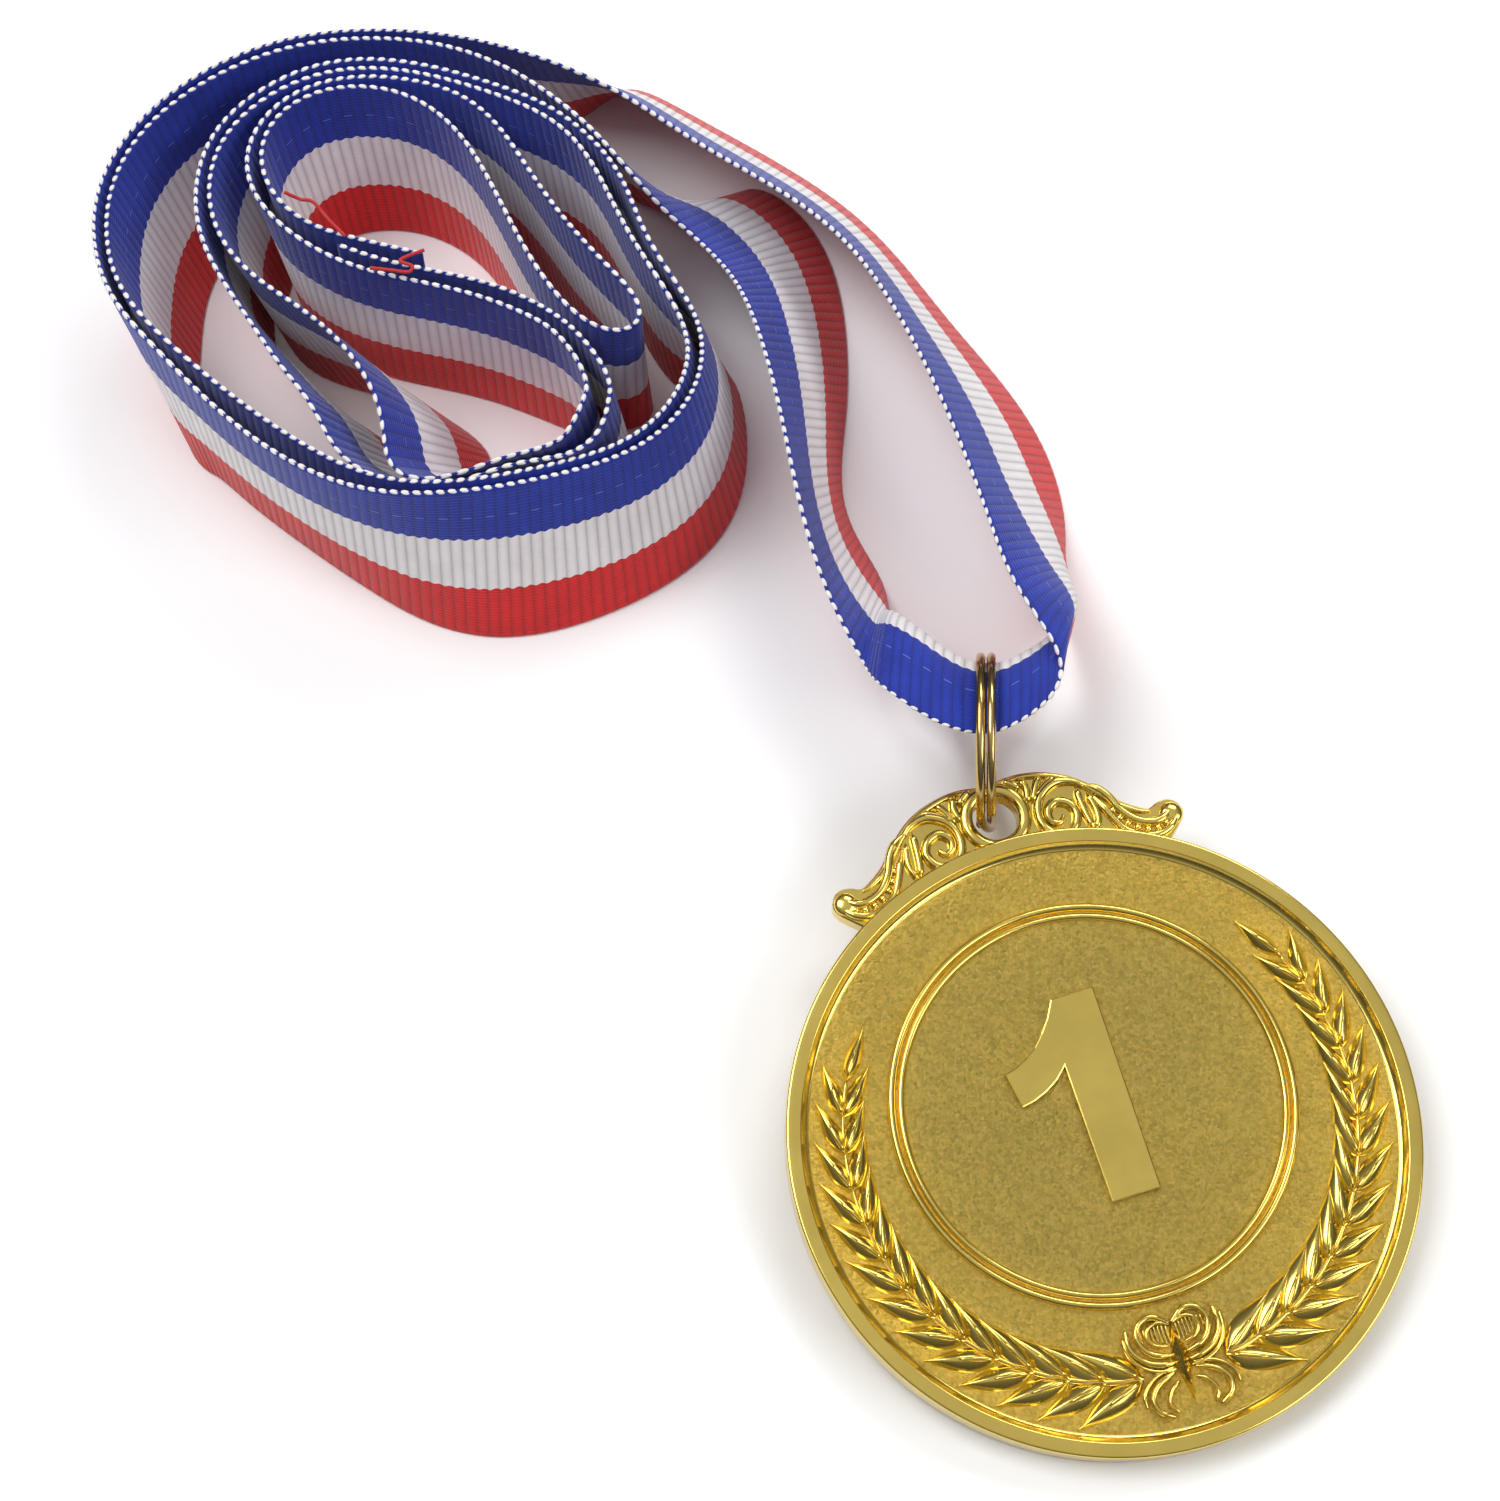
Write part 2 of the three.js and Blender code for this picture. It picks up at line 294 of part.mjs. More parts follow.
    [-52.62, 66.47, 21.24, -50.70, 64.40, 10.61, -48.71, 62.28, 0.00],
    [-55.51, 63.49, 21.03, -53.02, 61.48, 10.51, -50.47, 59.45, 0.00],
    [-57.34, 60.00, 20.88, -54.49, 58.03, 10.44, -51.63, 56.05, 0.00],
    [-58.07, 56.18, 20.85, -55.10, 54.30, 10.42, -52.12, 52.43, 0.00],
    [-57.78, 52.23, 20.90, -54.78, 50.56, 10.45, -51.77, 48.89, 0.00],
    [-56.50, 48.36, 20.99, -53.49, 47.07, 10.49, -50.43, 45.76, 0.00],
    [-54.30, 44.85, 21.06, -51.25, 44.12, 10.52, -48.13, 43.37, 0.00],
    [-51.43, 41.97, 21.03, -48.25, 41.83, 10.50, -45.00, 41.69, 0.00],
    [-48.33, 39.63, 20.83, -44.84, 40.01, 10.40, -41.30, 40.39, 0.00],
    [-45.45, 37.46, 20.48, -41.56, 38.27, 10.23, -37.62, 39.08, 0.00],
  ],
  ribbon_third_turn: [
    [-45.20, 37.26, 20.45, -41.27, 38.10, 10.21, -37.29, 38.95, 0.00],
    [-42.57, 34.81, 19.95, -38.12, 36.03, 9.97, -33.67, 37.26, 0.00],
    [-40.08, 31.51, 19.44, -35.26, 33.32, 9.72, -30.45, 35.13, 0.00],
    [-38.03, 27.27, 18.81, -33.06, 30.06, 9.40, -28.10, 32.84, 0.00],
    [-37.01, 22.34, 17.96, -31.99, 26.26, 8.98, -26.98, 30.18, 0.00],
    [-33.93, 18.52, 18.22, -29.86, 23.13, 9.11, -25.79, 27.74, 0.00],
    [-28.17, 18.40, 19.68, -26.01, 22.82, 9.84, -23.86, 27.24, 0.00],
    [-22.66, 19.90, 20.72, -22.14, 23.57, 10.36, -21.63, 27.24, 0.00],
    [-18.43, 21.11, 21.26, -18.19, 23.93, 10.63, -17.95, 26.75, 0.00],
    [-15.97, 24.63, 21.74, -15.10, 26.05, 10.87, -14.23, 27.47, 0.00],
    [-15.21, 28.63, 21.78, -14.22, 29.79, 10.89, -13.23, 30.96, 0.00],
    [-17.04, 32.61, 21.89, -16.25, 33.12, 10.94, -15.46, 33.64, 0.00],
    [-19.70, 35.56, 21.97, -19.26, 35.61, 10.98, -18.81, 35.68, 0.00],
    [-22.85, 37.44, 21.99, -22.73, 37.44, 10.99, -22.61, 37.46, 0.00],
    [-26.35, 39.00, 22.00, -26.34, 39.00, 11.00, -26.33, 39.01, 0.00],
    [-30.09, 40.24, 22.00, -30.09, 40.24, 11.00, -30.09, 40.24, 0.00],
    [-33.92, 41.22, 22.00, -33.92, 41.22, 11.00, -33.92, 41.22, 0.00],
    [-37.76, 42.21, 22.00, -37.75, 42.21, 11.00, -37.75, 42.20, 0.00],
    [-41.51, 43.51, 21.99, -41.46, 43.48, 10.99, -41.41, 43.44, 0.00],
    [-45.18, 45.43, 21.97, -44.91, 45.26, 10.97, -44.60, 45.05, 0.00],
    [-48.74, 48.16, 21.86, -47.93, 47.62, 10.90, -46.99, 46.93, 0.00],
    [-51.79, 51.68, 21.61, -50.26, 50.55, 10.78, -48.66, 49.16, 0.00],
    [-53.63, 55.64, 21.32, -51.59, 54.00, 10.64, -49.68, 52.00, 0.00],
    [-53.93, 59.64, 21.18, -51.79, 57.71, 10.57, -49.84, 55.41, 0.00],
    [-52.69, 63.37, 21.20, -50.83, 61.28, 10.56, -49.06, 58.85, 0.00],
    [-50.13, 66.46, 21.26, -48.68, 64.22, 10.59, -47.24, 61.71, 0.00],
    [-46.68, 68.46, 21.32, -45.54, 66.13, 10.63, -44.36, 63.61, 0.00],
    [-42.88, 69.37, 21.36, -41.85, 67.02, 10.66, -40.81, 64.54, 0.00],
    [-39.02, 69.39, 21.39, -37.99, 67.09, 10.68, -36.98, 64.67, 0.00],
    [-35.23, 68.76, 21.40, -34.17, 66.49, 10.69, -33.16, 64.10, 0.00],
    [-31.64, 67.53, 21.38, -30.57, 65.21, 10.68, -29.53, 62.80, 0.00],
    [-28.61, 65.57, 21.38, -27.48, 63.25, 10.68, -26.35, 60.88, 0.00],
  ],
  ribbon_inner_fold_and_seam_end: [
    [-28.37, 65.35, 21.38, -27.22, 63.04, 10.68, -26.09, 60.68, 0.00],
    [-25.90, 62.53, 21.42, -24.60, 60.41, 10.71, -23.29, 58.26, 0.00],
    [-23.71, 59.08, 21.50, -22.27, 57.25, 10.75, -20.82, 55.41, 0.00],
    [-21.65, 55.51, 21.56, -20.16, 53.91, 10.78, -18.66, 52.29, 0.00],
    [-19.54, 52.06, 21.59, -18.05, 50.56, 10.79, -16.54, 49.05, 0.00],
    [-17.25, 48.73, 21.61, -15.77, 47.32, 10.80, -14.28, 45.90, 0.00],
    [-14.71, 45.42, 21.69, -13.33, 44.25, 10.84, -11.91, 43.04, 0.00],
    [-12.00, 42.10, 21.82, -10.95, 41.35, 10.89, -9.80, 40.53, 0.00],
    [-9.89, 38.88, 21.93, -9.41, 38.59, 10.95, -8.85, 38.26, 0.00],
    [-9.70, 36.17, 21.98, -9.76, 36.24, 10.98, -9.79, 36.33, 0.00],
    [-11.69, 34.92, 21.98, -11.95, 35.17, 10.98, -12.15, 35.56, 0.00],
    [-14.72, 35.82, 21.98, -14.81, 35.99, 10.99, -14.78, 36.39, 0.00],
    [-17.70, 38.51, 21.97, -17.45, 38.32, 10.97, -17.11, 38.19, 0.00],
    [-20.27, 42.12, 21.90, -19.66, 41.44, 10.94, -18.98, 40.72, 0.00],
    [-22.44, 46.07, 21.78, -21.57, 44.88, 10.88, -20.65, 43.61, 0.00],
    [-24.33, 50.08, 21.65, -23.36, 48.42, 10.82, -22.35, 46.71, 0.00],
    [-26.08, 53.91, 21.56, -25.08, 51.99, 10.78, -24.08, 50.05, 0.00],
    [-27.88, 57.56, 21.52, -26.88, 55.51, 10.76, -25.87, 53.44, 0.00],
    [-29.97, 61.03, 21.46, -28.97, 58.82, 10.73, -27.97, 56.60, 0.00],
    [-32.54, 64.09, 21.38, -31.54, 61.71, 10.69, -30.54, 59.33, 0.00],
    [-35.64, 66.42, 21.34, -34.64, 63.95, 10.67, -33.64, 61.48, 0.00],
    [-39.17, 67.77, 21.34, -38.17, 65.29, 10.67, -37.17, 62.80, 0.00],
    [-42.92, 68.07, 21.35, -41.91, 65.62, 10.67, -40.88, 63.14, 0.00],
    [-46.60, 67.24, 21.37, -45.46, 64.87, 10.68, -44.24, 62.41, 0.02],
    [-49.81, 65.18, 21.36, -48.34, 62.93, 10.69, -46.68, 60.65, 0.04],
    [-51.89, 61.97, 21.38, -50.14, 59.97, 10.70, -48.15, 58.06, 0.04],
    [-52.33, 58.08, 21.51, -50.71, 56.44, 10.75, -48.74, 54.93, 0.02],
    [-51.13, 54.09, 21.73, -49.99, 52.95, 10.85, -48.48, 51.88, 0.00],
    [-48.51, 50.65, 21.90, -47.94, 50.09, 10.93, -47.15, 49.51, 0.00],
    [-45.02, 48.33, 21.98, -44.84, 48.18, 10.98, -44.61, 48.02, 0.00],
    [-41.26, 46.97, 22.00, -41.23, 46.97, 11.00, -41.18, 46.96, 0.00],
    [-37.54, 45.96, 22.00, -37.54, 45.96, 11.00, -37.53, 45.97, 0.00],
    [-33.59, 44.83, 22.00, -33.59, 44.83, 11.00, -33.59, 44.83, 0.00],
  ],
};

// ------------------------------------------------------------------- helpers
const wasm = await Module();
wasm.setup();

function solidFrom(geometry) {
  const g = geometry.clone();
  g.deleteAttribute('normal');
  g.deleteAttribute('uv');
  const merged = mergeVertices(g, 1e-4);
  return new wasm.Manifold(new wasm.Mesh({
    numProp: 3,
    vertProperties: new Float32Array(merged.attributes.position.array),
    triVerts: new Uint32Array(merged.index.array),
  }));
}

function geometryFrom(solid) {
  const m = solid.getMesh();
  const g = new THREE.BufferGeometry();
  g.setAttribute('position', new THREE.BufferAttribute(new Float32Array(m.vertProperties), 3));
  g.setIndex(new THREE.BufferAttribute(new Uint32Array(m.triVerts), 1));
  g.computeVertexNormals();
  return g;
}

function extruded(points, z0, z1, holes = []) {
  const shape = new THREE.Shape(points.map((p) => new THREE.Vector2(p[0], p[1])));
  for (const h of holes) shape.holes.push(new THREE.Path(h.map((p) => new THREE.Vector2(p[0], p[1]))));
  const g = new THREE.ExtrudeGeometry(shape, { depth: z1 - z0, bevelEnabled: false });
  g.translate(0, 0, z0);
  return g;
}

function circlePoints(cx, cy, r, n) {
  const out = [];
  for (let i = 0; i < n; i++) {
    const a = (i / n) * Math.PI * 2;
    out.push([cx + r * Math.cos(a), cy + r * Math.sin(a)]);
  }
  return out;
}

function lathe(profile, segments) {
  const g = new THREE.LatheGeometry(profile.map((p) => new THREE.Vector2(p[0], p[1])), segments);
  g.rotateX(Math.PI / 2);
  return g;
}

function tube(curve, radius, steps, sides) {
  const section = new THREE.Shape(circlePoints(0, 0, radius, sides).map((p) => new THREE.Vector2(p[0], p[1])));
  return new THREE.ExtrudeGeometry(section, { steps, extrudePath: curve, bevelEnabled: false });
}

function polyhedron(vertices, faces) {
  const g = new THREE.BufferGeometry();
  const pos = [];
  for (const f of faces) for (const i of f) pos.push(...vertices[i]);
  g.setAttribute('position', new THREE.BufferAttribute(new Float32Array(pos), 3));
  return mergeVertices(g, 1e-4);
}

const gold = (color, roughness) => new THREE.MeshStandardMaterial({ color, roughness, metalness: 1 });
const cloth = (color) => new THREE.MeshStandardMaterial({ color, roughness: 0.85, metalness: 0 });

const group = new THREE.Group();
group.name = 'medal_on_ribbon';

function add(name, geometry, material) {
  const mesh = new THREE.Mesh(geometry, material);
  mesh.name = name;
  group.add(mesh);
  return mesh;
}

// ------------------------------------------------------------- medal casting
// Disc with its rim, turned in one profile; the lathe axis becomes local Z.
const rimIn = DISC_R - RIM_W;
let body = solidFrom(lathe([
  [0, -DISC_T], [DISC_R - 0.25, -DISC_T], [DISC_R, -DISC_T + 0.25], [DISC_R, -0.2],
  [DISC_R - 0.2, 0], [rimIn, 0], [rimIn - RIM_SLOPE, FIELD_Z], [0, FIELD_Z],
], 96));

// Crown plate, symmetric about the medal's axis.
const crownRight = [
  [0, 38.85], [1.2, 39.05], [2.6, 39.25], [4.3, 39.2], [6.4, 38.75], [8.65, 37.8], [10.7, 36.25],
  [12.05, 34.8], [13.4, 33.35], [14.9, 32.25], [15.95, 31.7], [16.85, 32.1], [18.0, 32.25],
  [18.95, 31.75], [19.4, 30.75], [19.1, 29.8], [18.1, 28.75], [16.8, 27.5], [8, 27.0],
];
const crownOutline = crownRight.concat(crownRight.slice(1).reverse().map((p) => [-p[0], p[1]]));
body = body.add(solidFrom(extruded(crownOutline, CROWN_BACK_Z, CROWN_TOP_Z)));
// Raised lip round the hole on the front of the crown.
body = body.add(solidFrom(extruded(circlePoints(HOLE[0], HOLE[1], LIP_R, 28), CROWN_BACK_Z + 0.2, LIP_Z)));

// Scroll work of the crown: swept beads on the land, on both halves.
function bead(points, r, z, steps, sides = 6) {
  const c = new THREE.CatmullRomCurve3(points.map((p) => new THREE.Vector3(p[0], p[1], z)));
  return solidFrom(tube(c, r, steps, sides));
}
for (const s of [1, -1]) {
  const m = (pts) => pts.map((p) => [s * p[0], p[1]]);
  body = body.add(bead(m([[9.95, 36.0], [8.9, 36.8], [7.0, 37.1], [5.1, 36.0], [4.45, 34.3], [4.75, 32.6], [6.2, 31.6], [7.7, 32.1], [8.35, 33.5], [7.6, 34.7], [6.3, 34.6]]), 0.5, -1.0, 22));
  body = body.add(bead(m([[10.3, 36.2], [11.5, 35.2], [12.5, 33.4], [13.8, 31.3], [15.6, 30.2], [17.2, 30.3], [18.3, 31.2]]), 0.6, -1.0, 14));
  body = body.add(bead(m([[10.7, 34.4], [11.5, 32.8], [12.4, 30.9], [13.6, 29.6], [15.4, 28.9], [17.2, 29.0]]), 0.45, -1.05, 10));
  body = body.add(bead(m([[9.2, 36.0], [9.3, 34.4], [9.4, 32.7], [9.7, 31.2]]), 0.35, -1.05, 5));
}
body = body.subtract(solidFrom(extruded(circlePoints(HOLE[0], HOLE[1], HOLE_R, 28), CROWN_BACK_Z - 1, 1)));

// Eccentric double bead and the lower field inside it.
body = body.subtract(solidFrom(extruded(circlePoints(BEAD_C[0], BEAD_C[1], BEAD_R_IN, 72), INNER_FIELD_Z, 1)));
function ringBead(r) {
  const g = lathe([
    [r - 0.42, INNER_FIELD_Z - 0.3], [r + 0.42, INNER_FIELD_Z - 0.3], [r + 0.42, FIELD_Z + 0.2],
    [r, FIELD_Z + BEAD_H], [r - 0.42, FIELD_Z + 0.2], [r - 0.42, INNER_FIELD_Z - 0.3],
  ], 72);
  g.translate(BEAD_C[0], BEAD_C[1], 0);
  return solidFrom(g);
}
body = body.add(ringBead(BEAD_R_OUT)).add(ringBead(BEAD_R_IN));

// Numeral, raised from the inner field.
body = body.add(solidFrom(extruded([
  [-0.9, 14.8], [3.8, 14.9], [3.7, -6.9], [-1.6, -7.0], [-1.75, 7.6], [-4.2, 5.7], [-7.25, 4.7],
  [-7.9, 8.6], [-5.8, 9.3], [-4.1, 10.4], [-2.4, 12.2],
].reverse(), INNER_FIELD_Z - 0.3, NUMERAL_Z)));

// Laurel: pairs of ridged leaves on two branches that rise from the bow.
function leaf(base, dir, length, width) {
  const d = [Math.cos(dir), Math.sin(dir)];
  const n = [-d[1], d[0]];
  const at = (u, v, z) => [base[0] + d[0] * u + n[0] * v, base[1] + d[1] * u + n[1] * v, z];
  const zb = FIELD_Z - 0.25;
  const v = [
    at(0, 0, zb), at(length * 0.4, -width / 2, zb), at(length, 0, zb), at(length * 0.4, width / 2, zb),
    at(length * 0.12, 0, -0.25), at(length * 0.62, 0, -0.15),
  ];
  const f = [
    [0, 2, 1], [0, 3, 2], [0, 1, 4], [1, 5, 4], [1, 2, 5], [2, 3, 5], [3, 4, 5], [3, 0, 4],
  ];
  return solidFrom(polyhedron(v, f));
}
for (const s of [1, -1]) {
  for (let i = 0; i <= LEAF_PAIRS; i++) {
    const k = i / LEAF_PAIRS;
    const a = THREE.MathUtils.degToRad(-80 + 108 * k);
    const r = 24.9 + 1.9 * k;
    const base = [r * Math.cos(a), r * Math.sin(a)];
    const along = a + Math.PI / 2;
    const len = 7.6 - 1.9 * k;
    const wid = 2.5 - 0.8 * k;
    const set = i === LEAF_PAIRS ? [0.12] : [-0.5 + 0.12 * k, 0.46 - 0.06 * k];
    for (const da of set) {
      const dir = along + da;
      body = body.add(leaf([s * base[0], base[1]], s > 0 ? dir : Math.PI - dir, len, wid));
    }
  }
}

// Bow: two loops, a pointed knot and two curled tails.
for (const s of [1, -1]) {
  body = body.add(bead([[s * 0.3, -22.6], [s * 2.4, -22.4], [s * 3.6, -21.0], [s * 3.3, -19.7], [s * 1.9, -19.2], [s * 0.3, -20.2]], 0.45, -0.75, 12));
  body = body.add(bead([[s * 0.4, -23.9], [s * 2.6, -23.6], [s * 4.3, -22.3], [s * 4.9, -20.3], [s * 4.2, -18.9]], 0.5, -0.75, 9));
  body = body.add(bead([[s * 0.8, -24.8], [s * 2.6, -25.2], [s * 3.6, -26.6], [s * 3.2, -28.0], [s * 2.0, -28.7]], 0.55, -0.85, 9));
}
body = body.add(solidFrom(polyhedron([
  [0, -19.9, -1.2], [-0.95, -23.2, -1.2], [0, -28.0, -1.2], [0.95, -23.2, -1.2], [0, -21.6, 0.0], [0, -26.2, -0.15],
], [[0, 2, 1], [0, 3, 2], [0, 1, 4], [1, 5, 4], [1, 2, 5], [2, 3, 5], [3, 4, 5], [3, 0, 4]])));

const medal = add('medal', geometryFrom(body), gold(0xc9a63c, 0.28));
medal.rotation.set(MEDAL_TILT, 0, MEDAL_YAW, 'ZXY');
medal.position.set(...MEDAL_CENTRE);

// ------------------------------------------------------------------ split ring
// Two coils side by side with one crossing step, as a key ring is wound.
class SplitRingCurve extends THREE.Curve {
  getPoint(u, target = new THREE.Vector3()) {
    const deg = 26 + (694 - 26) * u;
    const k = THREE.MathUtils.smoothstep(deg, 334, 386);
    const side = (k - 0.5) * RING_PITCH;
    const a = THREE.MathUtils.degToRad(deg + 195);
    const c = RING_MEAN_R * Math.cos(a);
    const s = RING_MEAN_R * Math.sin(a);
    return target.set(
      RING_CENTRE[0] + RING_OUT[0] * c + RING_UP[0] * s + RING_AXIS[0] * side,
      RING_CENTRE[1] + RING_OUT[1] * c + RING_UP[1] * s + RING_AXIS[1] * side,
      RING_CENTRE[2] + RING_OUT[2] * c + RING_UP[2] * s + RING_AXIS[2] * side,
    );
  }
}
add('split_ring', tube(new SplitRingCurve(), RING_WIRE_R, 72, 8), gold(0xa8925a, 0.22));

// --------------------------------------------------------------------- ribbon
// One woven tape, carried in stretches that follow each other end to end.
function ribbonStretch(stations) {
  const rows = stations.map((r) => ({
    t: new THREE.Vector3(r[0], r[1], r[2]),
    m: new THREE.Vector3(r[3], r[4], r[5]),
    b: new THREE.Vector3(r[6], r[7], r[8]),
  }));
  const n = rows.length;
  const curved = rows.some((r) => r.t.clone().add(r.b).multiplyScalar(0.5).distanceTo(r.m) > 2.2);
  const params = curved ? [0, 0.17, 0.34, 0.5, 0.66, 0.83, 1] : [0, 0.5, 1];
  const lines = rows.map((r) => params.map((s) => new THREE.Vector3()
    .addScaledVector(r.t, 2 * (s - 0.5) * (s - 1))
    .addScaledVector(r.m, 4 * s * (1 - s))
    .addScaledVector(r.b, 2 * s * (s - 0.5))));
  const q = params.length;
  const front = [];
  const back = [];
  for (let i = 0; i < n; i++) {
    for (let j = 0; j < q; j++) {
      const du = lines[Math.min(i + 1, n - 1)][j].clone().sub(lines[Math.max(i - 1, 0)][j]);
      const dv = lines[i][Math.min(j + 1, q - 1)].clone().sub(lines[i][Math.max(j - 1, 0)]);
      const nv = du.cross(dv).normalize().multiplyScalar(RIBBON_T / 2);
      front.push(lines[i][j].clone().add(nv));
      back.push(lines[i][j].clone().sub(nv));
    }
  }
  const v = front.concat(back).map((p) => [p.x, p.y, Math.max(p.z, 0)]);
  const F = (i, j) => i * q + j;
  const B = (i, j) => n * q + i * q + j;
  const f = [];
  const quad = (a, b, c, d) => { f.push([a, b, c], [a, c, d]); };
  for (let i = 0; i < n - 1; i++) {
    for (let j = 0; j < q - 1; j++) {
      quad(F(i, j), F(i + 1, j), F(i + 1, j + 1), F(i, j + 1));
      quad(B(i, j), B(i, j + 1), B(i + 1, j + 1), B(i + 1, j));
    }
    quad(F(i, 0), B(i, 0), B(i + 1, 0), F(i + 1, 0));
    quad(F(i, q - 1), F(i + 1, q - 1), B(i + 1, q - 1), B(i, q - 1));
  }
  for (let j = 0; j < q - 1; j++) {
    quad(F(0, j), F(0, j + 1), B(0, j + 1), B(0, j));
    quad(F(n - 1, j), B(n - 1, j), B(n - 1, j + 1), F(n - 1, j + 1));
  }
  const g = polyhedron(v, f);
  g.computeVertexNormals();
  return g;
}
const stripe = [0x1c38b0, 0x2340b8, 0x2a48c0];
let k = 0;
for (const [name, stations] of Object.entries(RIBBON_ROUTE)) {
  add(name, ribbonStretch(stations), cloth(stripe[k++ % 3]));
}

// --------------------------------------------------------- seam thread tails
function thread(points, steps) {
  const c = new THREE.CatmullRomCurve3(points.map((p) => new THREE.Vector3(...p)));
  return tube(c, THREAD_R, steps, 6);
}
add('seam_thread_long_tail', thread([[-48.95, 51.4, 24.2], [-47.27, 51.03, 23.4], [-45.73, 50.34, 23.8], [-43.92, 48.37, 23.2], [-42.1, 46.56, 22.75]], 16), cloth(0xc8201c));
add('seam_thread_curled_tail', thread([[-38.99, 41.77, 23.6], [-36.88, 41.98, 22.9], [-34.85, 41.52, 23.2], [-34.44, 42.23, 23.3], [-35.83, 43.09, 23.0], [-35.0, 43.82, 22.9], [-33.28, 44.68, 22.8]], 22), cloth(0xc8201c));

export default group;
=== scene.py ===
import math
import bpy
import bmesh
import numpy as np
from mathutils import Matrix, Vector


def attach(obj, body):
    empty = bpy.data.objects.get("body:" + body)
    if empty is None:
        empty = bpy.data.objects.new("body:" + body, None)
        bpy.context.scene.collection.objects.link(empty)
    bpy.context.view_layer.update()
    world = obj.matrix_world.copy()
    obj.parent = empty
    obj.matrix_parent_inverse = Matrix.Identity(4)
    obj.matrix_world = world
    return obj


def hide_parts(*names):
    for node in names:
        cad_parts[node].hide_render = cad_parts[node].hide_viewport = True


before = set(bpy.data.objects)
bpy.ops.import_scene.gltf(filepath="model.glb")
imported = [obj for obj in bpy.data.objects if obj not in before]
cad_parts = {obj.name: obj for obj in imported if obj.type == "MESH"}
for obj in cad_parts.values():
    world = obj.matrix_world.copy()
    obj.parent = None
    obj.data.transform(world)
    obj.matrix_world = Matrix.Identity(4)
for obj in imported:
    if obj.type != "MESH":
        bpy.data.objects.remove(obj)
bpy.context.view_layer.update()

MM = 0.001
rng = np.random.default_rng(7)

# ------------------------------------------------------------------ sizes (mm)
RING_CENTRE = np.array([27.6940, -9.5642, 10.6475])
RING_AXIS = np.array([0.9969, -0.0331, 0.0711])
RING_OUT = np.array([0.0332, 0.9994, 0.0000])
RING_UP = np.array([-0.0710, 0.0024, 0.9975])
RING_R, WIRE_R, RING_PITCH = 9.075, 0.5, 1.12
MEDAL_CENTRE = np.array([38.7129, -51.4008, 6.8780])
MEDAL_YAW, MEDAL_TILT = 0.29336, 0.10472
CAMERA = (0.002633, -0.144987, 0.299054)
RIB = 1.25              # pitch of the ribbon's cross ribs
TAPE_T = 0.44           # ribbon thickness
STRIPE = 22.0 / 3

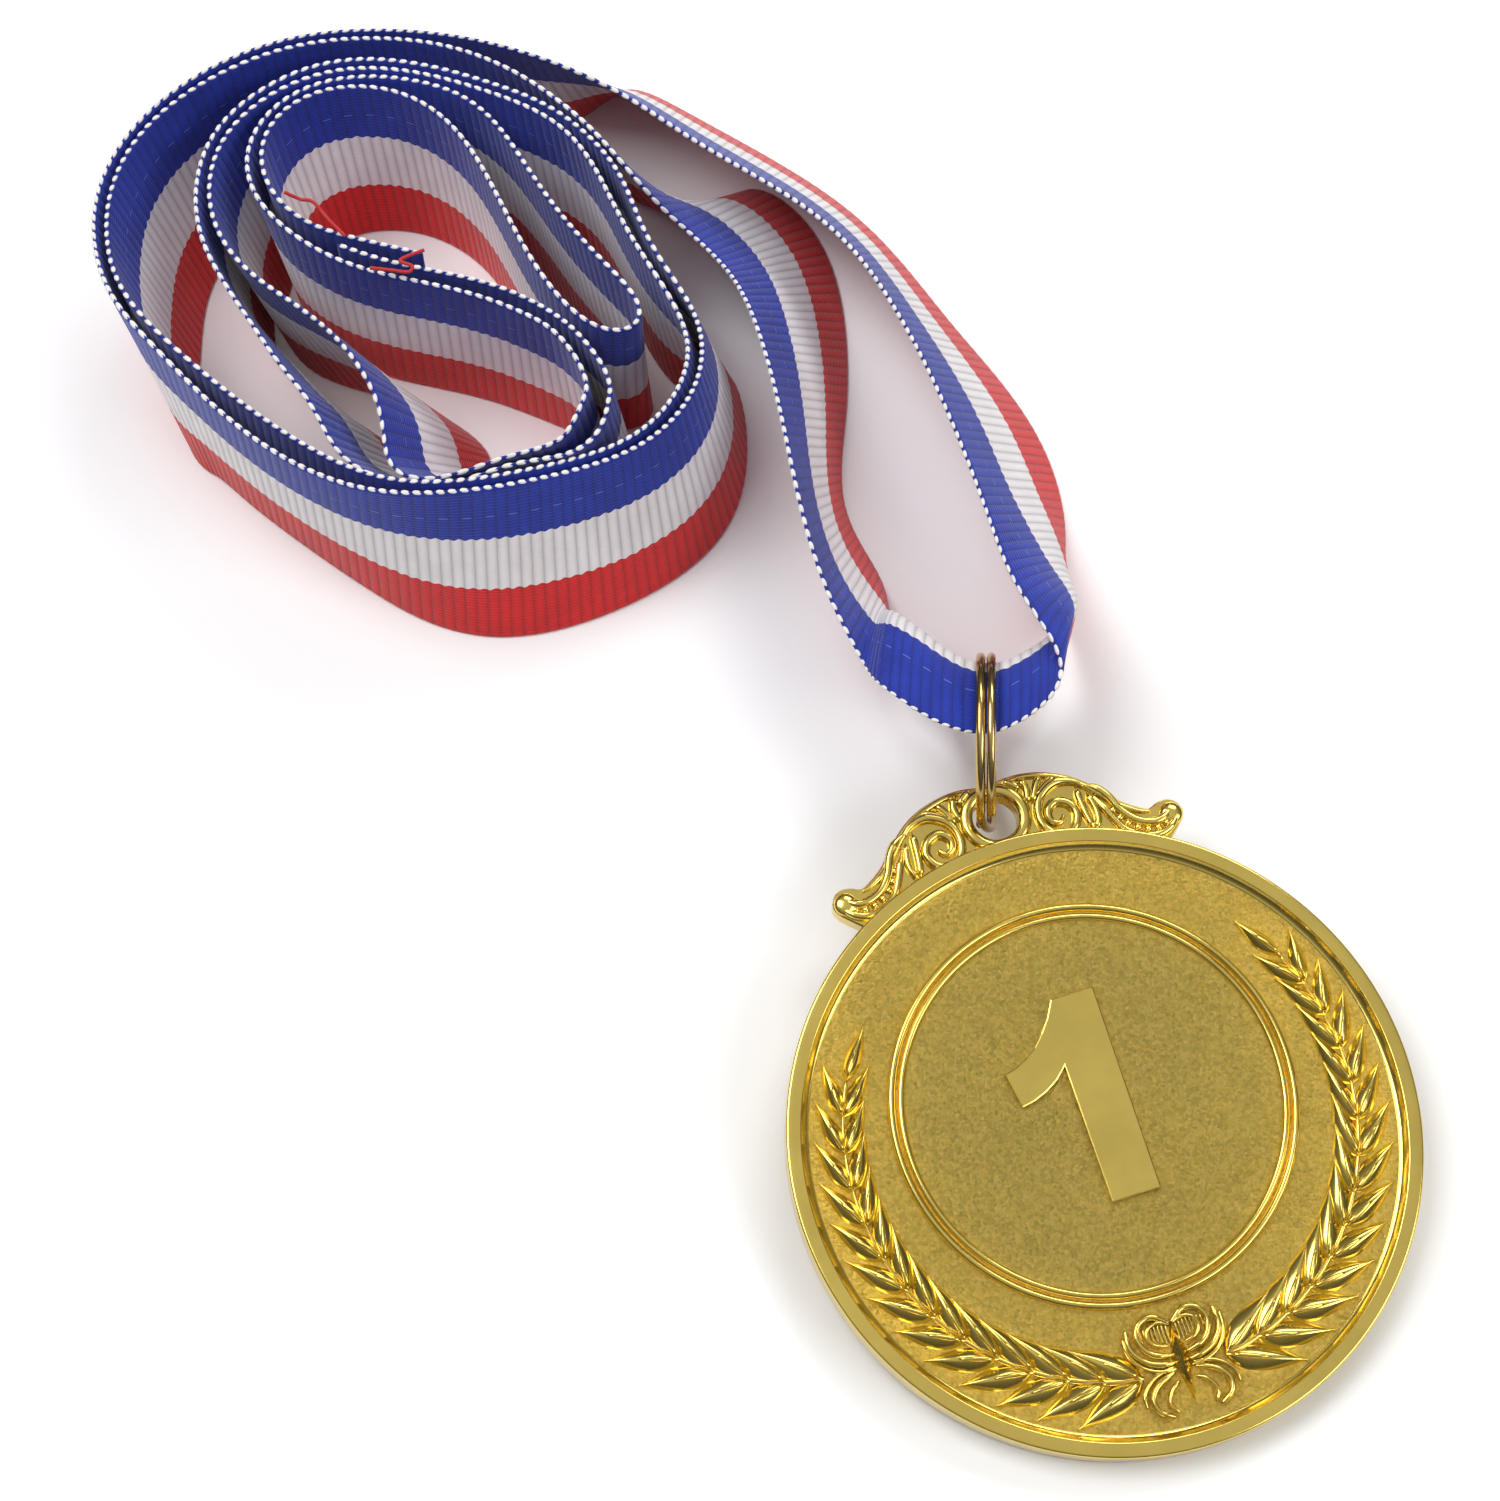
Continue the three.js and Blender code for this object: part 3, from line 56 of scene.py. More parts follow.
# Ribbon stations: blue edge, middle and red edge, in millimetres.
ROUTE = np.array([
[-42.98,46.07,21.99,-43.05,46.17,11.00,-43.10,46.26,0.00],
[-40.95,45.21,21.99,-40.99,45.38,11.00,-41.02,45.54,0.00],
[-39.18,44.53,21.99,-39.20,44.74,11.00,-39.21,44.94,0.00],
[-37.37,43.93,21.99,-37.37,44.16,11.00,-37.38,44.39,0.00],
[-35.50,43.40,21.99,-35.50,43.64,11.00,-35.50,43.89,0.00],
[-33.58,42.94,21.99,-33.59,43.18,11.00,-33.59,43.43,0.00],
[-31.65,42.50,21.99,-31.65,42.74,11.00,-31.65,42.99,0.00],
[-29.73,42.04,21.99,-29.73,42.29,11.00,-29.72,42.53,0.00],
[-27.82,41.51,21.99,-27.82,41.76,11.00,-27.81,42.01,0.00],
[-25.95,40.89,21.99,-25.94,41.13,11.00,-25.93,41.37,0.00],
[-24.13,40.15,21.99,-24.12,40.37,11.00,-24.09,40.60,0.00],
[-22.41,39.30,21.99,-22.36,39.47,10.99,-22.28,39.68,0.00],
[-20.79,38.36,21.98,-20.67,38.46,10.99,-20.48,38.62,0.00],
[-19.29,37.36,21.97,-19.02,37.37,10.98,-18.65,37.48,0.00],
[-17.93,36.29,21.95,-17.39,36.25,10.98,-16.75,36.31,0.01],
[-16.66,35.07,21.92,-15.78,35.09,10.97,-14.86,35.16,0.02],
[-15.39,33.55,21.89,-14.29,33.80,10.96,-13.19,34.05,0.03],
[-14.16,31.77,21.85,-13.00,32.33,10.93,-11.85,32.88,0.02],
[-13.11,29.81,21.81,-11.98,30.67,10.91,-10.85,31.53,0.01],
[-12.54,27.81,21.80,-11.44,28.80,10.90,-10.33,29.78,-0.00],
[-12.67,25.93,21.81,-11.56,26.83,10.91,-10.44,27.73,-0.00],
[-13.07,23.84,21.81,-12.08,24.92,10.90,-11.10,25.99,0.00],
[-13.97,21.77,21.73,-13.27,23.35,10.86,-12.57,24.93,-0.00],
[-15.44,20.35,21.55,-15.06,22.53,10.77,-14.67,24.72,0.00],
[-17.19,19.61,21.23,-17.03,22.50,10.61,-16.87,25.40,0.00],
[-19.19,19.32,20.91,-19.01,22.61,10.45,-18.82,25.90,-0.00],
[-21.36,19.08,20.58,-20.98,22.64,10.29,-20.61,26.21,-0.00],
[-23.72,18.68,20.23,-22.96,22.52,10.11,-22.19,26.36,0.00],
[-26.48,17.90,19.72,-24.88,22.12,9.86,-23.28,26.34,0.00],
[-29.57,17.24,18.76,-26.78,21.84,9.38,-24.00,26.44,-0.00],
[-32.20,17.22,18.18,-28.74,21.93,9.09,-25.28,26.63,-0.00],
[-34.39,17.48,18.19,-30.72,22.11,9.09,-27.04,26.73,0.00],
[-36.40,17.92,18.42,-32.68,22.38,9.21,-28.96,26.85,0.00],
[-38.31,18.56,18.75,-34.61,22.81,9.38,-30.91,27.05,0.00],
[-40.16,19.51,19.11,-36.47,23.47,9.56,-32.79,27.44,0.00],
[-41.83,21.00,19.40,-38.07,24.61,9.70,-34.32,28.21,-0.00],
[-43.17,23.02,19.54,-39.22,26.21,9.77,-35.28,29.40,-0.00],
[-44.30,25.18,19.61,-40.16,27.93,9.80,-36.02,30.69,-0.00],
[-45.48,27.23,19.72,-41.23,29.54,9.86,-36.97,31.86,0.00],
[-46.77,29.04,19.91,-42.55,30.93,9.95,-38.29,32.83,0.00],
[-48.11,30.71,20.14,-44.01,32.20,10.05,-39.84,33.72,0.00],
[-49.40,32.45,20.34,-45.42,33.57,10.15,-41.37,34.72,0.00],
[-50.63,34.26,20.50,-46.78,35.03,10.24,-42.85,35.82,0.00],
[-51.83,36.08,20.65,-48.13,36.51,10.31,-44.33,36.94,0.00],
[-53.03,37.91,20.78,-49.47,37.98,10.37,-45.82,38.06,0.00],
[-54.22,39.75,20.87,-50.81,39.46,10.42,-47.30,39.16,0.00],
[-55.38,41.62,20.93,-52.11,40.96,10.44,-48.73,40.28,0.00],
[-56.47,43.54,20.94,-53.31,42.51,10.45,-50.06,41.46,0.00],
[-57.46,45.49,20.92,-54.38,44.13,10.44,-51.22,42.75,0.00],
[-58.28,47.47,20.88,-55.24,45.85,10.43,-52.16,44.21,0.00],
[-58.90,49.46,20.84,-55.89,47.65,10.41,-52.85,45.83,0.00],
[-59.31,51.45,20.81,-56.30,49.54,10.40,-53.30,47.61,0.00],
[-59.52,53.44,20.80,-56.52,51.47,10.40,-53.52,49.50,0.00],
[-59.54,55.41,20.79,-56.54,53.42,10.40,-53.55,51.43,0.00],
[-59.37,57.37,20.80,-56.39,55.37,10.40,-53.41,53.37,0.00],
[-58.99,59.29,20.81,-56.05,57.29,10.40,-53.09,55.29,0.00],
[-58.37,61.15,20.85,-55.50,59.15,10.42,-52.61,57.14,0.00],
[-57.47,62.94,20.92,-54.76,60.93,10.45,-52.00,58.90,0.00],
[-56.27,64.63,21.03,-53.81,62.62,10.50,-51.29,60.53,0.00],
[-54.80,66.20,21.16,-52.68,64.17,10.56,-50.48,62.04,0.00],
[-53.11,67.61,21.29,-51.36,65.56,10.63,-49.56,63.40,0.00],
[-51.31,68.84,21.39,-49.87,66.77,10.69,-48.43,64.63,0.00],
[-49.46,69.87,21.46,-48.24,67.78,10.73,-47.04,65.68,0.00],
[-47.59,70.67,21.50,-46.49,68.59,10.75,-45.42,66.53,0.00],
[-45.69,71.25,21.52,-44.64,69.19,10.76,-43.63,67.15,0.00],
[-43.76,71.62,21.53,-42.75,69.57,10.77,-41.75,67.55,0.00],
[-41.81,71.79,21.53,-40.81,69.73,10.77,-39.82,67.72,0.00],
[-39.85,71.77,21.53,-38.86,69.69,10.77,-37.87,67.68,0.00],
[-37.89,71.59,21.52,-36.91,69.47,10.77,-35.92,67.46,0.00],
[-35.93,71.27,21.51,-34.97,69.11,10.77,-33.97,67.10,0.00],
[-33.98,70.82,21.51,-33.03,68.65,10.77,-32.04,66.63,0.00],
[-32.06,70.28,21.51,-31.11,68.11,10.77,-30.12,66.09,0.00],
[-30.16,69.65,21.52,-29.20,67.52,10.77,-28.20,65.50,0.00],
[-28.29,68.97,21.52,-27.31,66.88,10.77,-26.29,64.87,0.00],
[-26.45,68.26,21.52,-25.42,66.21,10.76,-24.38,64.20,0.00],
[-24.65,67.51,21.52,-23.56,65.49,10.76,-22.46,63.48,0.00],
[-22.90,66.71,21.50,-21.73,64.72,10.75,-20.56,62.71,0.00],
[-21.24,65.81,21.49,-19.94,63.85,10.74,-18.69,61.84,0.00],
[-19.66,64.80,21.47,-18.24,62.87,10.73,-16.89,60.87,0.00],
[-18.17,63.64,21.45,-16.62,61.76,10.72,-15.21,59.76,0.00],
[-16.77,62.34,21.44,-15.13,60.51,10.72,-13.67,58.51,0.00],
[-15.45,60.93,21.43,-13.77,59.11,10.71,-12.29,57.11,0.00],
[-14.23,59.43,21.43,-12.56,57.58,10.71,-11.06,55.58,0.00],
[-13.12,57.83,21.43,-11.51,55.93,10.71,-10.01,53.93,0.00],
[-12.18,56.14,21.42,-10.61,54.19,10.71,-9.10,52.19,0.00],
[-11.38,54.36,21.42,-9.84,52.39,10.71,-8.31,50.39,0.00],
[-10.68,52.53,21.41,-9.14,50.55,10.70,-7.56,48.55,0.00],
[-10.02,50.69,21.40,-8.44,48.75,10.69,-6.76,46.77,0.00],
[-9.34,48.89,21.38,-7.68,47.07,10.66,-5.79,45.16,0.00],
[-8.58,47.14,21.37,-6.80,45.58,10.62,-4.56,43.88,0.00],
[-7.74,45.42,21.35,-5.78,44.35,10.58,-3.11,43.12,0.00],
[-6.82,43.73,21.33,-4.68,43.34,10.55,-1.67,42.85,0.00],
[-5.88,42.09,21.29,-3.60,42.38,10.53,-0.49,42.66,0.00],
[-5.00,40.52,21.26,-2.62,41.28,10.55,0.37,42.07,0.00],
[-4.22,39.02,21.28,-1.81,39.91,10.59,1.01,40.84,0.00],
[-3.59,37.55,21.34,-1.18,38.29,10.63,1.51,39.05,0.00],
[-3.11,36.10,21.40,-0.72,36.49,10.67,1.89,36.90,0.00],
[-2.79,34.62,21.44,-0.43,34.59,10.69,2.11,34.56,0.00],
[-2.64,33.12,21.44,-0.31,32.66,10.70,2.17,32.16,0.00],
[-2.67,31.61,21.41,-0.37,30.71,10.68,2.04,29.78,0.00],
[-2.88,30.09,21.35,-0.64,28.80,10.66,1.68,27.45,0.00],
[-3.28,28.60,21.29,-1.13,26.93,10.63,1.09,25.21,0.00],
[-3.86,27.14,21.23,-1.84,25.14,10.60,0.24,23.09,0.00],
[-4.62,25.73,21.18,-2.76,23.45,10.58,-0.86,21.12,0.00],
[-5.54,24.39,21.14,-3.89,21.88,10.56,-2.20,19.31,0.00],
[-6.61,23.15,21.11,-5.19,20.44,10.54,-3.74,17.67,0.00],
[-7.82,22.03,21.07,-6.63,19.13,10.53,-5.43,16.19,0.00],
[-9.16,21.04,21.02,-8.21,17.98,10.50,-7.24,14.85,0.00],
[-10.63,20.20,20.94,-9.89,16.95,10.46,-9.13,13.64,0.00],
[-12.19,19.48,20.84,-11.64,16.06,10.41,-11.08,12.54,0.00],
[-13.83,18.88,20.73,-13.46,15.28,10.34,-13.07,11.55,0.00],
[-15.53,18.35,20.61,-15.32,14.58,10.28,-15.08,10.67,0.00],
[-17.29,17.86,20.51,-17.22,13.98,10.22,-17.11,9.92,0.00],
[-19.09,17.40,20.46,-19.14,13.44,10.19,-19.14,9.31,0.00],
[-20.92,16.95,20.45,-21.07,12.99,10.19,-21.18,8.85,0.00],
[-22.80,16.49,20.52,-23.03,12.63,10.22,-23.21,8.57,0.00],
[-24.72,16.05,20.65,-24.99,12.38,10.28,-25.23,8.48,0.00],
[-26.66,15.63,20.84,-26.96,12.24,10.38,-27.24,8.61,0.00],
[-28.63,15.27,21.06,-28.93,12.24,10.49,-29.22,8.96,0.00],
[-30.60,14.97,21.29,-30.89,12.39,10.61,-31.20,9.52,0.00],
[-32.56,14.78,21.51,-32.84,12.68,10.72,-33.16,10.29,0.00],
[-34.47,14.72,21.69,-34.76,13.12,10.81,-35.10,11.26,0.00],
[-36.35,14.81,21.82,-36.65,13.70,10.88,-37.01,12.38,0.00],
[-38.18,15.07,21.91,-38.50,14.41,10.93,-38.88,13.61,0.00],
[-39.97,15.50,21.95,-40.31,15.23,10.96,-40.71,14.89,0.00],
[-41.71,16.09,21.96,-42.08,16.14,10.97,-42.50,16.17,0.00],
[-43.41,16.82,21.96,-43.80,17.13,10.97,-44.24,17.46,0.00],
[-45.09,17.66,21.95,-45.49,18.19,10.97,-45.93,18.74,0.00],
[-46.75,18.61,21.93,-47.15,19.30,10.96,-47.57,20.01,0.00],
[-48.38,19.68,21.93,-48.77,20.47,10.96,-49.17,21.26,0.00],
[-50.00,20.85,21.93,-50.36,21.68,10.96,-50.72,22.51,0.00],
[-51.60,22.11,21.93,-51.91,22.94,10.97,-52.22,23.75,0.00],
[-53.17,23.46,21.94,-53.43,24.24,10.97,-53.68,25.00,0.00],
[-54.72,24.88,21.94,-54.90,25.58,10.97,-55.07,26.26,0.00],
[-56.26,26.38,21.94,-56.34,26.95,10.95,-56.37,27.48,0.00],
[-57.82,28.00,21.92,-57.74,28.32,10.92,-57.52,28.54,0.00],
[-59.45,29.77,21.86,-59.13,29.68,10.86,-58.45,29.26,0.00],
[-61.16,31.70,21.73,-60.48,31.02,10.77,-59.28,29.76,0.00],
[-62.92,33.74,21.52,-61.78,32.39,10.66,-60.13,30.45,0.00],
[-64.60,35.78,21.24,-62.96,33.84,10.54,-60.95,31.49,0.00],
[-66.13,37.78,20.96,-64.00,35.43,10.42,-61.64,32.85,0.00],
[-67.43,39.73,20.69,-64.86,37.15,10.31,-62.17,34.44,0.00],
[-68.49,41.65,20.47,-65.56,38.96,10.21,-62.56,36.20,0.00],
[-69.34,43.58,20.27,-66.10,40.84,10.12,-62.81,38.07,0.00],
[-70.01,45.52,20.10,-66.50,42.77,10.04,-62.98,40.00,0.00],
[-70.49,47.48,19.97,-66.80,44.73,9.98,-63.09,41.98,0.00],
[-70.81,49.45,19.89,-66.99,46.71,9.94,-63.17,43.97,0.00],
[-70.95,51.41,19.87,-67.08,48.69,9.93,-63.22,45.97,0.00],
[-70.89,53.35,19.90,-67.05,50.66,9.95,-63.21,47.96,0.00],
[-70.64,55.27,19.98,-66.88,52.62,9.98,-63.12,49.95,0.00],
[-70.17,57.16,20.10,-66.54,54.56,10.04,-62.92,51.91,0.00],
[-69.49,59.02,20.24,-66.05,56.46,10.11,-62.61,53.83,0.00],
[-68.63,60.83,20.39,-65.39,58.31,10.18,-62.16,55.70,0.00],
[-67.59,62.58,20.54,-64.57,60.10,10.26,-61.57,57.53,0.00],
[-66.38,64.25,20.70,-63.60,61.80,10.34,-60.82,59.30,0.00],
[-65.01,65.84,20.85,-62.48,63.42,10.42,-59.94,60.99,0.00],
[-63.51,67.34,20.99,-61.23,64.96,10.50,-58.96,62.60,0.00],
[-61.89,68.73,21.13,-59.88,66.41,10.57,-57.88,64.11,0.00],
[-60.16,70.01,21.26,-58.43,67.76,10.63,-56.71,65.54,0.00],
[-58.35,71.17,21.37,-56.89,69.01,10.69,-55.43,66.86,0.00],
[-56.48,72.21,21.46,-55.27,70.13,10.73,-54.05,68.05,0.00],
[-54.56,73.11,21.54,-53.56,71.12,10.77,-52.56,69.13,0.00],
[-52.61,73.88,21.60,-51.79,71.97,10.80,-50.96,70.06,0.00],
[-50.64,74.51,21.65,-49.95,72.68,10.83,-49.25,70.88,0.00],
[-48.66,74.99,21.70,-48.05,73.26,10.85,-47.45,71.57,0.00],
[-46.67,75.35,21.74,-46.13,73.73,10.87,-45.58,72.15,0.00],
[-44.68,75.58,21.78,-44.17,74.09,10.89,-43.65,72.65,0.00],
[-42.69,75.70,21.82,-42.19,74.36,10.91,-41.69,73.07,0.00],
[-40.71,75.72,21.85,-40.21,74.56,10.93,-39.70,73.44,0.00],
[-38.72,75.66,21.89,-38.22,74.71,10.94,-37.68,73.78,0.00],
[-36.76,75.54,21.91,-36.22,74.84,10.95,-35.63,74.13,0.00],
[-34.82,75.35,21.93,-34.22,74.94,10.95,-33.53,74.52,0.00],
[-32.91,75.10,21.92,-32.22,75.04,10.94,-31.39,74.98,0.00],
[-31.04,74.80,21.88,-30.21,75.13,10.92,-29.21,75.50,0.00],
[-29.20,74.44,21.80,-28.21,75.21,10.87,-27.01,76.06,0.00],
[-27.39,74.05,21.67,-26.20,75.30,10.81,-24.80,76.65,0.00],
[-25.59,73.64,21.47,-24.21,75.40,10.70,-22.62,77.31,0.00],
[-23.78,73.22,21.18,-22.27,75.57,10.53,-20.52,78.14,0.00],
[-21.94,72.80,20.76,-20.39,75.82,10.30,-18.60,79.20,0.00],
[-20.06,72.39,20.20,-18.61,76.20,9.98,-16.94,80.47,0.00],
[-18.15,71.96,19.50,-16.91,76.63,9.61,-15.51,81.77,0.00],
[-16.25,71.50,18.72,-15.28,76.99,9.23,-14.23,82.86,0.00],
[-14.40,70.93,17.99,-13.68,77.10,8.91,-12.94,83.50,0.00],
[-12.65,70.21,17.43,-12.09,76.84,8.67,-11.54,83.58,0.00],
[-10.99,69.29,17.07,-10.49,76.20,8.52,-10.02,83.14,0.00],
[-9.40,68.23,16.87,-8.88,75.27,8.43,-8.38,82.31,0.00],
[-7.85,67.07,16.76,-7.26,74.17,8.39,-6.68,81.27,0.00],
[-6.32,65.88,16.71,-5.63,73.01,8.36,-4.94,80.13,0.00],
[-4.79,64.70,16.67,-3.99,71.83,8.34,-3.20,78.96,0.00],
[-3.25,63.54,16.66,-2.35,70.67,8.33,-1.46,77.80,0.00],
[-1.70,62.41,16.66,-0.71,69.52,8.33,0.28,76.64,0.00],
[-0.14,61.29,16.68,0.94,68.38,8.34,2.01,75.48,0.00],
[1.42,60.18,16.71,2.58,67.24,8.35,3.74,74.30,0.00],
[2.97,59.06,16.76,4.21,66.08,8.38,5.45,73.10,0.00],
[4.51,57.93,16.81,5.83,64.90,8.41,7.14,71.87,0.00],
[6.02,56.78,16.87,7.42,63.70,8.44,8.82,70.62,0.00],
[7.49,55.60,16.94,8.98,62.46,8.47,10.47,69.32,0.00],
[8.90,54.37,17.01,10.49,61.16,8.50,12.09,67.96,0.00],
[10.23,53.10,17.09,11.95,59.81,8.54,13.68,66.52,0.00],
[11.47,51.79,17.19,13.34,58.39,8.59,15.22,64.99,0.00],
[12.61,50.43,17.31,14.65,56.90,8.65,16.70,63.37,0.00],
[13.66,49.03,17.45,15.89,55.34,8.72,18.13,61.66,0.00],
[14.63,47.60,17.60,17.06,53.73,8.79,19.49,59.87,0.00],
[15.52,46.13,17.73,18.16,52.07,8.86,20.81,58.03,0.00],
[16.37,44.63,17.86,19.22,50.38,8.92,22.08,56.14,0.00],
[17.18,43.11,17.95,20.25,48.67,8.97,23.33,54.24,0.00],
[17.97,41.56,18.01,21.26,46.94,9.00,24.57,52.34,0.00],
[18.73,40.00,18.02,22.27,45.22,9.00,25.82,50.45,0.00],
[19.48,38.44,17.99,23.28,43.49,8.99,27.10,48.56,0.00],
[20.21,36.88,17.90,24.30,41.78,8.94,28.41,46.69,0.00],
[20.93,35.31,17.78,25.32,40.06,8.88,29.72,44.82,0.00],
[21.64,33.71,17.62,26.31,38.33,8.80,31.01,42.96,0.00],
[22.33,32.07,17.45,27.27,36.58,8.72,32.23,41.09,0.00],
[23.02,30.38,17.29,28.19,34.81,8.64,33.36,39.23,0.00],
[23.37,29.52,17.21,28.63,33.91,8.60,33.89,38.30,0.00],
[23.70,28.64,17.13,29.05,33.01,8.56,34.40,37.37,0.00],
[24.04,27.74,17.06,29.45,32.10,8.53,34.87,36.44,0.00],
[24.37,26.84,16.99,29.84,31.18,8.50,35.32,35.52,0.00],
[24.69,25.92,16.94,30.22,30.26,8.47,35.73,34.59,0.00],
[25.01,24.99,16.90,30.57,29.33,8.46,36.12,33.66,0.00],
[25.33,24.05,16.87,30.91,28.39,8.44,36.47,32.72,0.00],
[25.64,23.10,16.85,31.24,27.45,8.44,36.80,31.79,0.00],
[25.94,22.14,16.84,31.55,26.51,8.45,37.09,30.86,0.00],
[26.23,21.19,16.85,31.86,25.56,8.47,37.35,29.93,0.00],
[26.52,20.22,16.87,32.16,24.61,8.51,37.58,29.01,0.00],
[26.80,19.26,16.89,32.47,23.67,8.55,37.78,28.10,0.00],
[27.08,18.29,16.92,32.77,22.72,8.62,37.95,27.19,0.00],
[27.35,17.32,16.95,33.08,21.78,8.69,38.09,26.29,0.00],
[27.62,16.35,16.99,33.40,20.84,8.79,38.20,25.39,0.00],
[27.88,15.38,17.04,33.73,19.91,8.90,38.29,24.50,0.00],
[28.13,14.41,17.09,34.06,18.98,9.02,38.34,23.59,0.00],
[28.39,13.44,17.14,34.39,18.05,9.16,38.36,22.66,0.00],
[28.63,12.47,17.21,34.72,17.12,9.31,38.35,21.71,0.00],
[28.89,11.50,17.29,35.04,16.19,9.48,38.31,20.71,0.00],
[29.14,10.52,17.39,35.36,15.27,9.66,38.24,19.65,0.00],
[29.41,9.53,17.52,35.66,14.35,9.86,38.15,18.52,0.00],
[29.70,8.51,17.68,35.96,13.43,10.08,38.04,17.28,0.00],
[30.02,7.47,17.87,36.24,12.53,10.34,37.90,15.94,0.00],
[30.38,6.38,18.10,36.50,11.65,10.63,37.76,14.50,0.06],
[30.79,5.26,18.37,36.76,10.78,10.97,37.63,12.99,0.15],
[31.25,4.09,18.68,36.99,9.93,11.34,37.53,11.50,0.31],
[31.77,2.89,19.02,37.20,9.12,11.77,37.50,10.16,0.59],
[32.33,1.68,19.35,37.37,8.34,12.23,37.49,8.98,0.95],
[32.90,0.38,19.58,37.50,7.58,12.70,37.46,7.91,1.67],
[33.44,-0.72,19.90,37.57,6.84,13.16,37.39,6.76,2.14],
[33.91,-1.79,20.17,37.58,6.13,13.59,37.28,5.61,2.61],
[34.29,-2.81,20.38,37.52,5.43,13.99,37.12,4.51,3.05],
[34.60,-3.83,20.54,37.41,4.74,14.36,36.93,3.44,3.47],
[34.81,-4.79,20.64,37.22,4.07,14.69,36.69,2.42,3.83],
[34.88,-5.70,20.69,36.95,3.41,14.97,36.40,1.45,4.11],
[34.82,-6.55,20.69,36.58,2.77,15.19,36.04,0.56,4.30],
[34.62,-7.36,20.63,36.12,2.14,15.35,35.62,-0.27,4.38],
[34.27,-8.11,20.50,35.56,1.52,15.46,35.14,-1.05,4.38],
[33.79,-8.80,20.29,34.91,0.92,15.51,34.58,-1.75,4.34],
[33.18,-9.42,19.98,34.17,0.31,15.48,33.95,-2.37,4.29],
[32.47,-9.96,19.61,33.36,-0.30,15.40,33.27,-2.91,4.28],
[31.70,-10.45,19.21,32.51,-0.87,15.29,32.55,-3.37,4.31],
[30.88,-10.85,18.80,31.62,-1.36,15.14,31.79,-3.75,4.38],
[30.05,-11.19,18.42,30.74,-1.79,15.01,31.01,-4.06,4.46],
[29.21,-11.48,18.09,29.86,-2.14,14.88,30.24,-4.33,4.53],
[28.36,-11.70,17.86,28.98,-2.36,14.79,29.46,-4.48,4.54],
[27.50,-11.82,17.72,28.10,-2.45,14.75,28.68,-4.53,4.52],
[26.63,-11.83,17.66,27.23,-2.40,14.75,27.91,-4.47,4.45],
[25.75,-11.79,17.64,26.36,-2.28,14.78,27.14,-4.34,4.37],
[24.85,-11.66,17.71,25.49,-2.04,14.85,26.37,-4.11,4.26],
[23.93,-11.46,17.87,24.62,-1.65,14.99,25.63,-3.74,4.10],
[23.01,-11.20,18.07,23.75,-1.17,15.16,24.89,-3.26,3.97],
[22.10,-10.87,18.29,22.91,-0.63,15.34,24.17,-2.69,3.91],
[21.21,-10.47,18.48,22.09,-0.05,15.52,23.47,-2.02,3.96],
[20.37,-10.01,18.64,21.33,0.54,15.66,22.79,-1.28,4.11],
[19.60,-9.50,18.71,20.64,1.12,15.74,22.16,-0.47,4.32],
[18.90,-8.96,18.71,20.01,1.63,15.73,21.57,0.37,4.50],
[18.27,-8.43,18.64,19.47,2.12,15.63,21.05,1.21,4.57],
[17.71,-7.91,18.53,19.00,2.58,15.44,20.58,2.04,4.50],
[17.22,-7.41,18.36,18.59,3.02,15.16,20.17,2.86,4.27],
[16.77,-6.93,18.16,18.23,3.44,14.82,19.79,3.69,3.95],
[16.39,-6.45,17.91,17.94,3.84,14.38,19.45,4.51,3.52],
[16.06,-5.99,17.60,17.71,4.21,13.84,19.14,5.33,3.00],
[15.79,-5.51,17.25,17.53,4.56,13.21,18.85,6.12,2.40],
[15.55,-5.03,16.86,17.39,4.90,12.50,18.57,6.88,1.74],
[15.34,-4.52,16.46,17.28,5.23,11.75,18.16,7.31,0.66],
[15.14,-3.97,16.08,17.17,5.58,11.00,18.11,8.54,0.30],
[14.92,-3.37,15.74,17.04,5.95,10.30,18.10,10.02,0.09],
[14.68,-2.73,15.45,16.87,6.36,9.67,18.06,11.49,0.00],
[14.40,-2.05,15.24,16.66,6.81,9.13,17.95,12.79,0.00],
[14.09,-1.31,15.11,16.40,7.32,8.70,17.77,13.90,0.00],
[13.73,-0.53,15.05,16.08,7.88,8.37,17.53,14.87,0.00],
[13.35,0.29,15.06,15.72,8.50,8.14,17.24,15.74,0.00],
[12.93,1.16,15.14,15.30,9.18,7.99,16.92,16.56,0.00],
[12.49,2.06,15.27,14.86,9.90,7.92,16.57,17.34,0.00],
[12.04,3.00,15.44,14.40,10.67,7.91,16.20,18.10,0.00],
[11.59,3.97,15.63,13.93,11.47,7.94,15.83,18.85,0.00],
[11.16,4.96,15.85,13.47,12.31,8.00,15.45,19.60,0.00],
[10.74,5.98,16.08,13.03,13.18,8.08,15.08,20.36,0.00],
[10.35,7.02,16.30,12.62,14.06,8.17,14.73,21.12,0.00],
[9.97,8.07,16.53,12.24,14.97,8.27,14.40,21.89,0.00],
[9.62,9.13,16.75,11.89,15.89,8.37,14.10,22.68,0.00],
[9.29,10.21,16.95,11.58,16.83,8.47,13.83,23.47,0.00],
[8.98,11.30,17.15,11.30,17.77,8.56,13.60,24.28,0.00],
[8.69,12.40,17.33,11.05,18.73,8.65,13.41,25.09,0.00],
[8.42,13.51,17.50,10.84,19.69,8.74,13.26,25.92,0.00],
[8.15,14.62,17.66,10.65,20.66,8.82,13.15,26.74,0.00],
[7.91,15.74,17.81,10.48,21.64,8.89,13.08,27.58,0.00],
[7.67,16.86,17.93,10.34,22.62,8.95,13.04,28.42,0.00],
[7.45,17.98,18.03,10.23,23.61,9.00,13.03,29.28,0.00],
